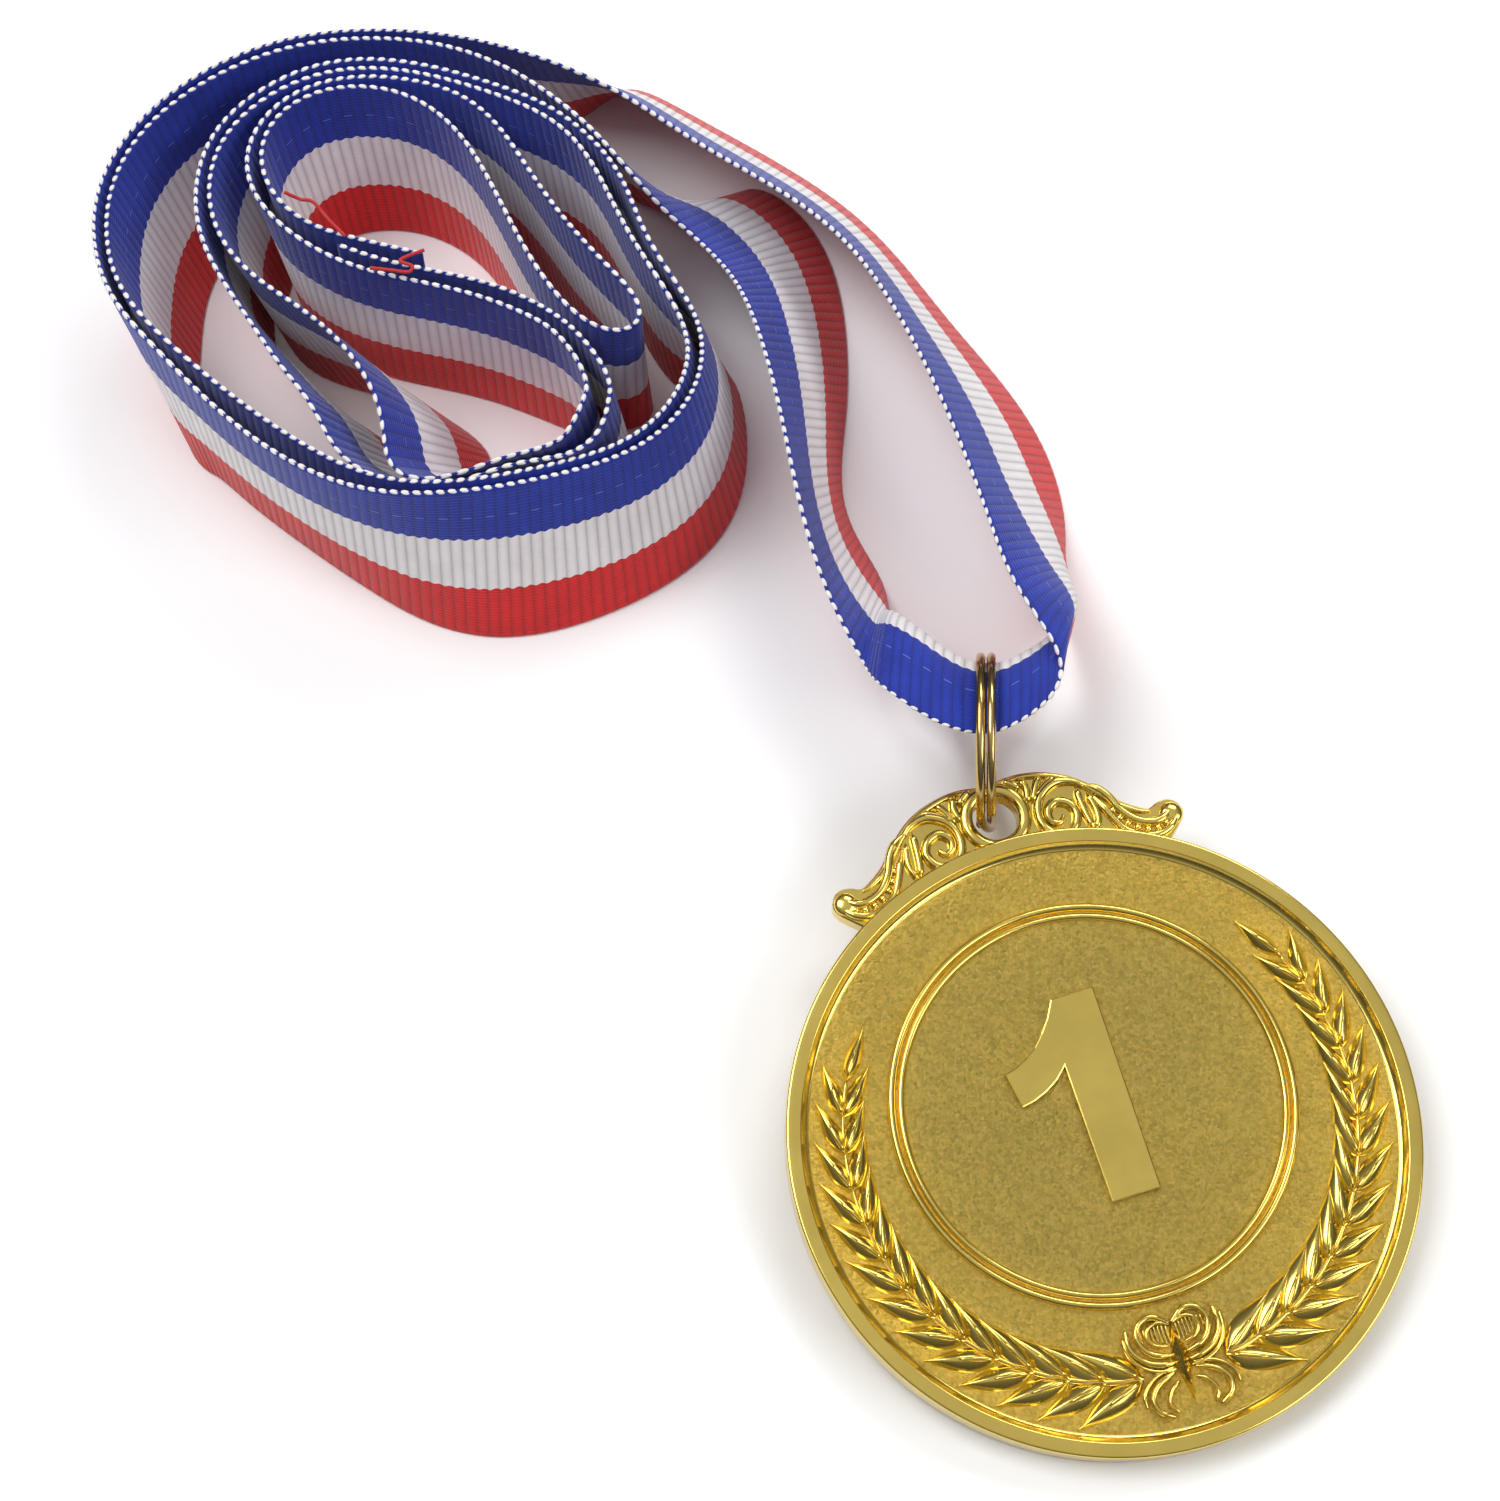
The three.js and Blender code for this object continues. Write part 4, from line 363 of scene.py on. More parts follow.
[7.24,19.09,18.11,10.13,24.60,9.04,13.04,30.14,0.00],
[7.03,20.19,18.17,10.05,25.59,9.07,13.08,31.02,0.00],
[6.84,21.29,18.20,9.98,26.58,9.09,13.14,31.91,0.00],
[6.65,22.37,18.21,9.92,27.57,9.09,13.22,32.82,0.00],
[6.46,23.44,18.19,9.87,28.57,9.08,13.30,33.74,0.00],
[6.28,24.49,18.16,9.83,29.57,9.07,13.40,34.67,0.00],
[6.10,25.54,18.11,9.79,30.56,9.04,13.49,35.62,0.00],
[5.73,27.62,17.97,9.69,32.56,8.97,13.67,37.52,0.00],
[5.34,29.68,17.80,9.57,34.55,8.89,13.82,39.44,0.00],
[4.94,31.72,17.61,9.42,36.54,8.80,13.91,41.38,0.00],
[4.50,33.74,17.39,9.23,38.53,8.69,13.95,43.34,0.00],
[4.05,35.72,17.15,8.99,40.51,8.57,13.94,45.32,0.00],
[3.57,37.66,16.86,8.71,42.48,8.42,13.87,47.33,0.00],
[3.07,39.53,16.53,8.39,44.45,8.25,13.74,49.38,0.00],
[2.55,41.33,16.13,8.03,46.40,8.05,13.53,51.49,0.00],
[2.00,43.03,15.66,7.60,48.33,7.82,13.22,53.66,0.00],
[1.43,44.65,15.15,7.09,50.24,7.56,12.78,55.85,0.00],
[0.80,46.19,14.61,6.49,52.11,7.29,12.20,58.05,0.00],
[0.11,47.66,14.09,5.76,53.92,7.03,11.43,60.20,0.00],
[-0.68,49.07,13.62,4.89,55.66,6.80,10.47,62.26,0.00],
[-1.56,50.42,13.27,3.86,57.30,6.62,9.30,64.20,0.00],
[-2.53,51.68,13.07,2.69,58.81,6.51,7.93,65.96,0.00],
[-3.55,52.81,13.07,1.42,60.11,6.51,6.42,67.44,0.00],
[-4.61,53.77,13.34,0.10,61.09,6.62,4.85,68.48,0.00],
[-5.68,54.50,13.95,-1.21,61.66,6.89,3.35,68.92,0.00],
[-6.77,55.06,14.90,-2.47,61.77,7.32,1.97,68.67,0.00],
[-7.85,55.54,16.10,-3.68,61.55,7.89,0.71,67.84,0.00],
[-8.93,56.11,17.34,-4.89,61.26,8.50,-0.57,66.73,0.00],
[-10.04,56.89,18.43,-6.15,61.17,9.07,-1.97,65.75,0.00],
[-11.20,57.94,19.29,-7.51,61.45,9.54,-3.55,65.22,0.00],
[-12.41,59.23,19.91,-8.95,62.12,9.87,-5.25,65.24,0.00],
[-13.66,60.66,20.35,-10.47,63.07,10.11,-7.03,65.70,0.00],
[-14.97,62.12,20.67,-12.02,64.17,10.28,-8.83,66.44,0.00],
[-16.35,63.54,20.92,-13.62,65.30,10.41,-10.67,67.27,0.00],
[-17.79,64.89,21.12,-15.26,66.40,10.52,-12.55,68.08,0.00],
[-19.27,66.18,21.30,-16.96,67.41,10.62,-14.47,68.79,0.00],
[-20.81,67.42,21.47,-18.71,68.33,10.71,-16.44,69.34,0.00],
[-22.39,68.59,21.60,-20.52,69.14,10.78,-18.46,69.76,0.00],
[-24.02,69.68,21.70,-22.36,69.87,10.83,-20.53,70.09,0.00],
[-25.70,70.67,21.77,-24.24,70.54,10.87,-22.64,70.39,0.00],
[-27.40,71.56,21.81,-26.13,71.16,10.89,-24.76,70.71,0.00],
[-29.14,72.34,21.84,-28.05,71.71,10.91,-26.89,71.02,0.00],
[-30.91,73.00,21.84,-29.98,72.18,10.91,-29.00,71.30,0.00],
[-32.72,73.54,21.84,-31.93,72.55,10.91,-31.11,71.50,0.00],
[-34.57,73.97,21.83,-33.90,72.81,10.91,-33.20,71.61,0.00],
[-36.47,74.28,21.80,-35.88,72.97,10.90,-35.27,71.63,0.00],
[-38.40,74.47,21.78,-37.87,73.04,10.88,-37.32,71.57,0.00],
[-40.37,74.57,21.75,-39.86,73.03,10.87,-39.34,71.43,0.00],
[-42.35,74.57,21.72,-41.85,72.93,10.85,-41.33,71.21,0.00],
[-44.34,74.46,21.68,-43.82,72.73,10.83,-43.29,70.90,0.00],
[-46.33,74.23,21.65,-45.77,72.40,10.81,-45.20,70.47,0.00],
[-48.33,73.88,21.60,-47.69,71.94,10.79,-47.03,69.91,0.00],
[-50.34,73.38,21.54,-49.56,71.34,10.76,-48.77,69.21,0.00],
[-52.34,72.73,21.47,-51.38,70.58,10.72,-50.39,68.35,0.00],
[-54.33,71.92,21.39,-53.15,69.69,10.68,-51.92,67.37,0.00],
[-56.28,70.97,21.29,-54.85,68.68,10.63,-53.35,66.28,0.00],
[-58.16,69.89,21.19,-56.47,67.55,10.58,-54.71,65.10,0.00],
[-59.95,68.69,21.09,-58.02,66.31,10.52,-56.00,63.83,0.00],
[-61.64,67.38,20.99,-59.47,64.97,10.47,-57.23,62.48,0.00],
[-63.20,65.98,20.88,-60.81,63.53,10.43,-58.35,61.03,0.00],
[-64.64,64.46,20.77,-62.02,61.99,10.38,-59.34,59.50,0.00],
[-65.91,62.84,20.65,-63.07,60.35,10.32,-60.16,57.86,0.01],
[-67.01,61.13,20.52,-63.94,58.61,10.26,-60.80,56.12,0.01],
[-67.92,59.34,20.37,-64.63,56.79,10.18,-61.29,54.28,0.01],
[-68.61,57.49,20.22,-65.14,54.91,10.11,-61.62,52.36,0.00],
[-69.10,55.60,20.08,-65.46,52.98,10.04,-61.79,50.37,0.00],
[-69.39,53.68,19.97,-65.62,51.02,9.98,-61.84,48.36,0.00],
[-69.47,51.74,19.91,-65.65,49.04,9.95,-61.82,46.34,0.00],
[-69.37,49.79,19.91,-65.57,47.06,9.95,-61.77,44.33,0.00],
[-69.09,47.82,19.97,-65.40,45.08,9.98,-61.69,42.33,0.00],
[-68.64,45.86,20.10,-65.13,43.12,10.04,-61.60,40.35,0.00],
[-67.99,43.91,20.27,-64.75,41.19,10.12,-61.46,38.42,0.00],
[-67.14,41.99,20.49,-64.23,39.31,10.22,-61.23,36.57,0.00],
[-66.05,40.06,20.73,-63.54,37.52,10.33,-60.87,34.85,0.00],
[-64.70,38.13,21.01,-62.67,35.85,10.45,-60.35,33.33,0.00],
[-63.13,36.17,21.31,-61.61,34.35,10.57,-59.69,32.09,0.00],
[-61.40,34.24,21.58,-60.39,33.00,10.70,-58.91,31.18,0.00],
[-59.61,32.39,21.78,-59.05,31.75,10.81,-58.08,30.55,0.00],
[-57.86,30.69,21.89,-57.64,30.51,10.89,-57.19,29.97,0.00],
[-56.19,29.15,21.95,-56.19,29.23,10.95,-56.11,29.14,0.00],
[-54.59,27.72,21.97,-54.73,27.92,10.98,-54.84,28.03,0.00],
[-53.02,26.38,21.99,-53.24,26.60,10.99,-53.45,26.78,0.00],
[-51.45,25.08,21.99,-51.72,25.30,11.00,-51.99,25.50,0.00],
[-49.86,23.84,21.99,-50.17,24.04,11.00,-50.48,24.22,0.00],
[-48.27,22.65,21.99,-48.60,22.80,11.00,-48.93,22.95,0.00],
[-46.67,21.51,21.99,-47.01,21.59,11.00,-47.35,21.67,0.00],
[-45.05,20.43,21.99,-45.40,20.41,10.99,-45.74,20.39,0.00],
[-43.42,19.42,21.98,-43.76,19.27,10.99,-44.11,19.10,0.00],
[-41.76,18.49,21.97,-42.09,18.18,10.98,-42.45,17.83,0.00],
[-40.05,17.68,21.95,-40.39,17.16,10.96,-40.75,16.57,0.00],
[-38.30,17.00,21.91,-38.63,16.23,10.94,-39.00,15.34,0.00],
[-36.50,16.51,21.84,-36.83,15.41,10.90,-37.21,14.16,0.00],
[-34.65,16.21,21.74,-34.98,14.72,10.85,-35.37,13.05,0.00],
[-32.76,16.12,21.59,-33.09,14.17,10.77,-33.48,12.06,0.00],
[-30.84,16.22,21.41,-31.17,13.79,10.68,-31.54,11.24,0.00],
[-28.90,16.47,21.19,-29.22,13.57,10.59,-29.58,10.62,0.00],
[-26.97,16.82,20.98,-27.26,13.51,10.49,-27.59,10.23,0.00],
[-25.05,17.24,20.79,-25.29,13.61,10.41,-25.58,10.07,0.00],
[-23.15,17.70,20.66,-23.34,13.86,10.35,-23.57,10.14,0.00],
[-21.28,18.16,20.60,-21.39,14.22,10.33,-21.54,10.43,0.00],
[-19.43,18.61,20.60,-19.46,14.68,10.33,-19.53,10.90,0.00],
[-17.62,19.08,20.66,-17.55,15.23,10.36,-17.51,11.53,0.00],
[-15.86,19.56,20.76,-15.67,15.87,10.40,-15.51,12.30,0.00],
[-14.16,20.09,20.88,-13.83,16.61,10.45,-13.52,13.19,0.00],
[-12.54,20.70,21.00,-12.04,17.45,10.50,-11.56,14.22,0.00],
[-11.03,21.45,21.10,-10.34,18.42,10.54,-9.64,15.37,0.00],
[-9.64,22.34,21.17,-8.72,19.53,10.58,-7.78,16.67,0.00],
[-8.41,23.37,21.23,-7.22,20.78,10.60,-6.01,18.12,0.00],
[-7.32,24.54,21.26,-5.86,22.17,10.62,-4.36,19.73,0.00],
[-6.38,25.81,21.28,-4.65,23.69,10.63,-2.87,21.50,0.00],
[-5.58,27.17,21.30,-3.63,25.32,10.64,-1.60,23.42,0.00],
[-4.95,28.57,21.33,-2.81,27.06,10.65,-0.58,25.49,0.00],
[-4.50,30.02,21.37,-2.23,28.89,10.66,0.16,27.70,0.00],
[-4.24,31.48,21.40,-1.89,30.76,10.68,0.61,30.00,0.00],
[-4.19,32.96,21.41,-1.80,32.66,10.68,0.78,32.31,0.00],
[-4.37,34.47,21.41,-1.95,34.51,10.68,0.68,34.50,0.00],
[-4.76,36.02,21.39,-2.35,36.24,10.66,0.35,36.41,0.00],
[-5.36,37.64,21.38,-2.99,37.78,10.64,-0.21,37.86,0.00],
[-6.13,39.34,21.37,-3.86,39.09,10.61,-1.04,38.77,0.00],
[-7.03,41.10,21.36,-4.90,40.25,10.60,-2.19,39.31,0.00],
[-7.99,42.88,21.33,-6.03,41.42,10.60,-3.60,39.87,0.00],
[-8.96,44.64,21.30,-7.17,42.72,10.61,-5.07,40.77,0.00],
[-9.90,46.37,21.29,-8.24,44.21,10.63,-6.41,42.06,0.00],
[-10.81,48.11,21.29,-9.23,45.86,10.64,-7.57,43.64,0.00],
[-11.67,49.88,21.31,-10.14,47.61,10.65,-8.57,45.37,0.00],
[-12.49,51.68,21.32,-10.99,49.42,10.66,-9.46,47.17,0.00],
[-13.30,53.50,21.32,-11.80,51.25,10.66,-10.29,48.99,0.00],
[-14.11,55.32,21.32,-12.61,53.06,10.66,-11.11,50.81,0.00],
[-14.97,57.10,21.33,-13.48,54.85,10.66,-11.99,52.59,0.00],
[-15.92,58.80,21.33,-14.44,56.55,10.67,-12.97,54.30,0.00],
[-17.00,60.40,21.34,-15.55,58.15,10.67,-14.10,55.90,0.00],
[-18.22,61.86,21.35,-16.81,59.61,10.67,-15.40,57.36,0.00],
[-19.59,63.15,21.37,-18.24,60.90,10.68,-16.90,58.65,0.00],
[-21.09,64.27,21.38,-19.82,62.02,10.69,-18.55,59.77,0.00],
[-22.71,65.25,21.40,-21.52,63.00,10.70,-20.32,60.74,0.00],
[-24.41,66.10,21.42,-23.29,63.86,10.71,-22.17,61.60,0.00],
[-26.19,66.89,21.43,-25.12,64.65,10.71,-24.05,62.39,0.00],
[-28.01,67.62,21.44,-26.97,65.40,10.71,-25.94,63.12,0.00],
[-29.86,68.32,21.44,-28.84,66.10,10.71,-27.83,63.81,0.00],
[-31.74,68.97,21.43,-30.73,66.75,10.71,-29.73,64.43,0.00],
[-33.64,69.54,21.42,-32.64,67.31,10.70,-31.64,64.97,0.00],
[-35.58,70.02,21.42,-34.57,67.77,10.70,-33.57,65.41,0.00],
[-37.53,70.37,21.41,-36.53,68.10,10.70,-35.53,65.74,0.00],
[-39.51,70.58,21.41,-38.50,68.28,10.70,-37.49,65.94,0.00],
[-41.49,70.62,21.41,-40.46,68.30,10.71,-39.44,65.99,0.00],
[-43.47,70.47,21.41,-42.41,68.15,10.71,-41.36,65.86,0.00],
[-45.44,70.09,21.40,-44.31,67.79,10.71,-43.19,65.53,0.00],
[-47.40,69.47,21.39,-46.16,67.22,10.70,-44.90,64.99,0.00],
[-49.33,68.61,21.36,-47.90,66.42,10.68,-46.44,64.23,0.00],
[-51.19,67.52,21.31,-49.51,65.40,10.64,-47.78,63.25,0.00],
[-52.92,66.23,21.22,-50.95,64.17,10.60,-48.91,62.06,0.00],
[-54.47,64.76,21.11,-52.19,62.73,10.55,-49.85,60.67,0.00],
[-55.77,63.14,21.01,-53.22,61.13,10.50,-50.63,59.10,0.00],
[-56.78,61.38,20.92,-54.04,59.40,10.46,-51.27,57.40,0.00],
[-57.50,59.53,20.87,-54.63,57.56,10.43,-51.74,55.60,0.00],
[-57.93,57.59,20.85,-54.99,55.67,10.42,-52.04,53.75,0.00],
[-58.09,55.61,20.85,-55.12,53.75,10.42,-52.13,51.90,0.00],
[-58.00,53.59,20.87,-55.00,51.84,10.43,-52.00,50.08,0.00],
[-57.64,51.58,20.91,-54.64,49.96,10.45,-51.62,48.33,0.00],
[-57.03,49.60,20.95,-54.03,48.16,10.47,-50.99,46.71,0.00],
[-56.17,47.69,21.00,-53.15,46.48,10.49,-50.09,45.26,0.00],
[-55.07,45.88,21.05,-52.04,44.96,10.51,-48.94,44.02,0.00],
[-53.77,44.22,21.07,-50.70,43.61,10.52,-47.56,42.98,0.00],
[-52.31,42.74,21.06,-49.18,42.43,10.52,-45.98,42.12,0.00],
[-50.76,41.42,21.00,-47.53,41.41,10.49,-44.23,41.39,0.00],
[-49.17,40.24,20.90,-45.79,40.49,10.44,-42.34,40.74,0.00],
[-47.60,39.10,20.75,-44.02,39.59,10.37,-40.39,40.09,0.00],
[-46.07,37.95,20.57,-42.28,38.66,10.27,-38.44,39.39,0.00],
[-44.60,36.76,20.35,-40.56,37.68,10.16,-36.48,38.62,0.00],
[-43.21,35.49,20.08,-38.90,36.60,10.04,-34.56,37.73,0.00],
[-41.90,34.04,19.81,-37.33,35.38,9.90,-32.76,36.73,0.00],
[-40.64,32.36,19.55,-35.89,34.01,9.78,-31.14,35.65,0.00],
[-39.46,30.48,19.29,-34.59,32.50,9.65,-29.71,34.53,0.00],
[-38.41,28.34,18.99,-33.47,30.86,9.49,-28.53,33.37,0.00],
[-37.64,25.89,18.56,-32.66,29.04,9.28,-27.69,32.19,0.00],
[-37.19,23.37,18.11,-32.19,27.11,9.06,-27.19,30.85,0.00],
[-36.66,21.06,17.83,-31.68,25.17,8.92,-26.70,29.28,0.00],
[-35.07,19.06,17.97,-30.58,23.53,8.99,-26.10,28.00,0.00],
[-32.25,18.09,18.63,-28.77,22.80,9.32,-25.29,27.50,0.00],
[-29.35,18.17,19.38,-26.80,22.72,9.69,-24.26,27.28,0.00],
[-26.40,18.85,20.09,-24.85,23.04,10.05,-23.31,27.23,0.00],
[-23.61,19.65,20.60,-22.91,23.46,10.30,-22.21,27.26,0.00],
[-21.23,20.24,20.88,-20.93,23.71,10.44,-20.62,27.19,0.00],
[-19.13,20.82,21.13,-18.93,23.88,10.57,-18.73,26.93,0.00],
[-17.36,21.83,21.49,-16.96,24.15,10.74,-16.55,26.46,0.00],
[-16.24,23.87,21.72,-15.47,25.44,10.86,-14.70,27.02,0.00],
[-15.49,25.94,21.77,-14.50,27.20,10.88,-13.51,28.46,0.00],
[-15.07,27.90,21.77,-14.06,29.13,10.89,-13.05,30.36,0.00],
[-15.65,30.03,21.81,-14.72,31.01,10.91,-13.78,31.98,0.00],
[-16.66,32.02,21.87,-15.83,32.64,10.93,-14.99,33.27,0.00],
[-17.88,33.76,21.92,-17.20,34.07,10.96,-16.51,34.38,0.00],
[-19.25,35.20,21.96,-18.74,35.29,10.98,-18.24,35.39,0.00],
[-20.75,36.29,21.98,-20.45,36.29,10.99,-20.14,36.32,0.00],
[-22.36,37.19,21.99,-22.21,37.19,10.99,-22.06,37.21,0.00],
[-24.07,38.03,22.00,-24.01,38.03,11.00,-23.94,38.04,0.00],
[-25.85,38.81,22.00,-25.83,38.81,11.00,-25.81,38.81,0.00],
[-27.70,39.50,22.00,-27.70,39.50,11.00,-27.69,39.50,0.00],
[-29.59,40.10,22.00,-29.59,40.10,11.00,-29.59,40.10,0.00],
[-31.52,40.62,22.00,-31.52,40.62,11.00,-31.52,40.62,0.00],
[-33.45,41.11,22.00,-33.45,41.11,11.00,-33.45,41.11,0.00],
[-35.39,41.58,22.00,-35.39,41.58,11.00,-35.39,41.58,0.00],
[-37.33,42.09,22.00,-37.32,42.08,11.00,-37.32,42.08,0.00],
[-39.24,42.66,22.00,-39.22,42.65,11.00,-39.21,42.64,0.00],
[-41.12,43.34,22.00,-41.08,43.32,11.00,-41.04,43.29,0.00],
[-42.98,44.18,21.99,-42.88,44.11,10.99,-42.76,44.04,0.00],
[-44.82,45.20,21.97,-44.59,45.05,10.98,-44.33,44.88,0.00],
[-46.65,46.43,21.94,-46.21,46.15,10.95,-45.68,45.79,0.00],
[-48.44,47.88,21.88,-47.69,47.38,10.91,-46.81,46.75,0.00],
[-50.11,49.54,21.77,-49.01,48.77,10.86,-47.76,47.79,0.00],
[-51.59,51.37,21.64,-50.11,50.29,10.79,-48.55,48.95,0.00],
[-52.76,53.32,21.48,-50.96,51.95,10.71,-49.19,50.27,0.00],
[-53.56,55.35,21.34,-51.54,53.73,10.65,-49.64,51.76,0.00],
[-53.97,57.38,21.24,-51.82,55.59,10.60,-49.87,53.42,0.00],
[-53.97,59.39,21.19,-51.82,57.47,10.57,-49.86,55.18,0.00],
[-53.57,61.33,21.18,-51.53,59.32,10.56,-49.62,56.96,0.00],
[-52.81,63.18,21.20,-50.93,61.09,10.56,-49.14,58.67,0.00],
[-51.69,64.87,21.23,-50.02,62.70,10.57,-48.39,60.23,0.00],
[-50.28,66.34,21.26,-48.81,64.10,10.59,-47.36,61.59,0.00],
[-48.64,67.52,21.29,-47.35,65.23,10.61,-46.05,62.71,0.00],
[-46.83,68.41,21.32,-45.68,66.08,10.63,-44.50,63.55,0.00],
[-44.94,69.01,21.34,-43.87,66.67,10.65,-42.78,64.15,0.00],
[-43.00,69.35,21.36,-41.98,67.01,10.66,-40.93,64.52,0.00],
[-41.06,69.47,21.38,-40.04,67.15,10.67,-39.02,64.70,0.00],
[-39.11,69.40,21.39,-38.09,67.10,10.68,-37.08,64.68,0.00],
[-37.19,69.16,21.40,-36.15,66.88,10.69,-35.13,64.49,0.00],
[-35.29,68.78,21.40,-34.24,66.51,10.69,-33.22,64.12,0.00],
[-33.44,68.25,21.40,-32.38,65.96,10.69,-31.35,63.56,0.00],
[-31.66,67.54,21.38,-30.59,65.23,10.68,-29.55,62.82,0.00],
[-30.00,66.62,21.37,-28.91,64.29,10.68,-27.84,61.88,0.00],
[-28.49,65.46,21.38,-27.35,63.15,10.68,-26.22,60.78,0.00],
[-27.12,64.07,21.39,-25.91,61.84,10.69,-24.69,59.56,0.00],
[-25.88,62.50,21.42,-24.58,60.39,10.71,-23.27,58.24,0.00],
[-24.75,60.80,21.46,-23.37,58.83,10.73,-21.97,56.84,0.00],
[-23.68,59.02,21.50,-22.24,57.20,10.75,-20.78,55.36,0.00],
[-22.64,57.22,21.53,-21.16,55.53,10.76,-19.68,53.82,0.00],
[-21.61,55.43,21.56,-20.11,53.83,10.78,-18.61,52.22,0.00],
[-20.56,53.67,21.57,-19.06,52.13,10.79,-17.55,50.58,0.00],
[-19.47,51.95,21.59,-17.98,50.45,10.79,-16.47,48.95,0.00],
[-18.35,50.27,21.60,-16.85,48.80,10.80,-15.35,47.34,0.00],
[-17.16,48.60,21.62,-15.68,47.20,10.81,-14.19,45.78,0.00],
[-15.90,46.94,21.64,-14.46,45.63,10.82,-12.99,44.30,0.00],
[-14.58,45.27,21.69,-13.22,44.11,10.84,-11.80,42.91,0.00],
[-13.21,43.59,21.75,-11.98,42.63,10.86,-10.67,41.62,0.00],
[-11.85,41.92,21.82,-10.83,41.20,10.90,-9.70,40.40,0.00],
[-10.65,40.28,21.89,-9.90,39.79,10.93,-9.05,39.24,0.00],
[-9.80,38.69,21.94,-9.36,38.43,10.95,-8.84,38.12,0.00],
[-9.47,37.23,21.97,-9.33,37.16,10.97,-9.14,37.08,0.00],
[-9.76,36.02,21.98,-9.85,36.10,10.98,-9.91,36.22,0.00],
[-10.62,35.20,21.98,-10.85,35.39,10.98,-11.04,35.68,0.00],
[-11.90,34.90,21.98,-12.16,35.15,10.98,-12.36,35.56,0.00],
[-13.41,35.17,21.98,-13.61,35.41,10.99,-13.70,35.88,0.00],
[-14.99,35.98,21.98,-15.06,36.14,10.99,-15.00,36.51,0.00],
[-16.52,37.24,21.98,-16.42,37.23,10.98,-16.22,37.35,0.00],
[-17.97,38.82,21.97,-17.68,38.58,10.97,-17.31,38.40,0.00],
[-19.29,40.60,21.94,-18.82,40.12,10.96,-18.28,39.63,0.00],
[-20.51,42.51,21.89,-19.86,41.78,10.93,-19.15,41.00,0.00],
[-21.62,44.49,21.83,-20.84,43.50,10.90,-20.00,42.44,0.00],
[-22.66,46.52,21.76,-21.78,45.26,10.87,-20.84,43.94,0.00],
[-23.63,48.54,21.69,-22.68,47.04,10.84,-21.69,45.48,0.00],
[-24.54,50.54,21.63,-23.56,48.84,10.81,-22.56,47.09,0.00],
[-25.43,52.49,21.59,-24.43,50.64,10.79,-23.43,48.76,0.00],
[-26.30,54.38,21.56,-25.30,52.44,10.78,-24.30,50.48,0.00],
[-27.19,56.23,21.53,-26.19,54.22,10.77,-25.19,52.20,0.00],
[-28.13,58.04,21.51,-27.13,55.97,10.75,-26.13,53.89,0.00],
[-29.16,59.81,21.48,-28.16,57.66,10.74,-27.16,55.50,0.00],
[-30.30,61.50,21.45,-29.30,59.26,10.72,-28.29,57.02,0.00],
[-31.57,63.08,21.41,-30.57,60.75,10.70,-29.56,58.42,0.00],
[-32.97,64.50,21.38,-31.97,62.10,10.69,-30.97,59.70,0.00],
[-34.50,65.72,21.35,-33.50,63.27,10.68,-32.50,60.82,0.00],
[-36.17,66.71,21.34,-35.17,64.23,10.67,-34.17,61.75,0.00],
[-37.93,67.44,21.34,-36.93,64.95,10.67,-35.93,62.46,0.00],
[-39.78,67.90,21.34,-38.78,65.42,10.67,-37.78,62.93,0.00],
[-41.68,68.10,21.34,-40.67,65.63,10.67,-39.66,63.15,0.00],
[-43.57,68.02,21.35,-42.55,65.58,10.67,-41.51,63.10,0.01],
[-45.44,67.65,21.36,-44.37,65.25,10.68,-43.24,62.78,0.01],
[-47.23,66.97,21.37,-46.05,64.61,10.69,-44.77,62.16,0.03],
[-48.89,65.97,21.36,-47.54,63.67,10.69,-46.03,61.30,0.04],
[-50.32,64.66,21.36,-48.78,62.45,10.69,-47.04,60.23,0.04],
[-51.42,63.06,21.36,-49.72,60.97,10.70,-47.80,58.94,0.04],
[-52.12,61.25,21.39,-50.36,59.30,10.71,-48.34,57.47,0.03],
[-52.39,59.29,21.45,-50.68,57.52,10.73,-48.66,55.89,0.03],
[-52.22,57.26,21.55,-50.68,55.70,10.77,-48.76,54.28,0.02],
[-51.65,55.23,21.66,-50.34,53.92,10.82,-48.66,52.72,0.01],
[-50.69,53.29,21.77,-49.66,52.27,10.87,-48.30,51.30,0.00],
[-49.37,51.52,21.86,-48.65,50.81,10.91,-47.65,50.08,0.00],
[-47.79,50.03,21.93,-47.33,49.58,10.95,-46.70,49.11,0.00],
[-46.03,48.84,21.97,-45.77,48.61,10.97,-45.43,48.36,0.00],
[-44.17,47.95,21.99,-44.04,47.85,10.99,-43.88,47.76,0.00],
[-42.27,47.28,21.99,-42.21,47.25,10.99,-42.15,47.23,0.00],
[-40.38,46.73,22.00,-40.35,46.72,11.00,-40.32,46.73,0.00],
[-38.50,46.22,22.00,-38.49,46.22,11.00,-38.48,46.23,0.00],
[-36.65,45.71,22.00,-36.65,45.72,11.00,-36.64,45.72,0.00],
[-34.85,45.20,22.00,-34.85,45.20,11.00,-34.85,45.20,0.00],
[-33.59,44.83,22.00,-33.59,44.83,11.00,-33.59,44.83,0.00]
])
LONG_TAIL = [[-48.95, 51.4, 24.2], [-47.27, 51.03, 23.4], [-45.73, 50.34, 23.8], [-43.92, 48.37, 23.2], [-42.1, 46.56, 22.75]]
CURLED_TAIL = [[-38.99, 41.77, 23.6], [-36.88, 41.98, 22.9], [-34.85, 41.52, 23.2], [-34.44, 42.23, 23.3], [-35.83, 43.09, 23.0], [-35.0, 43.82, 22.9], [-33.28, 44.68, 22.8]]


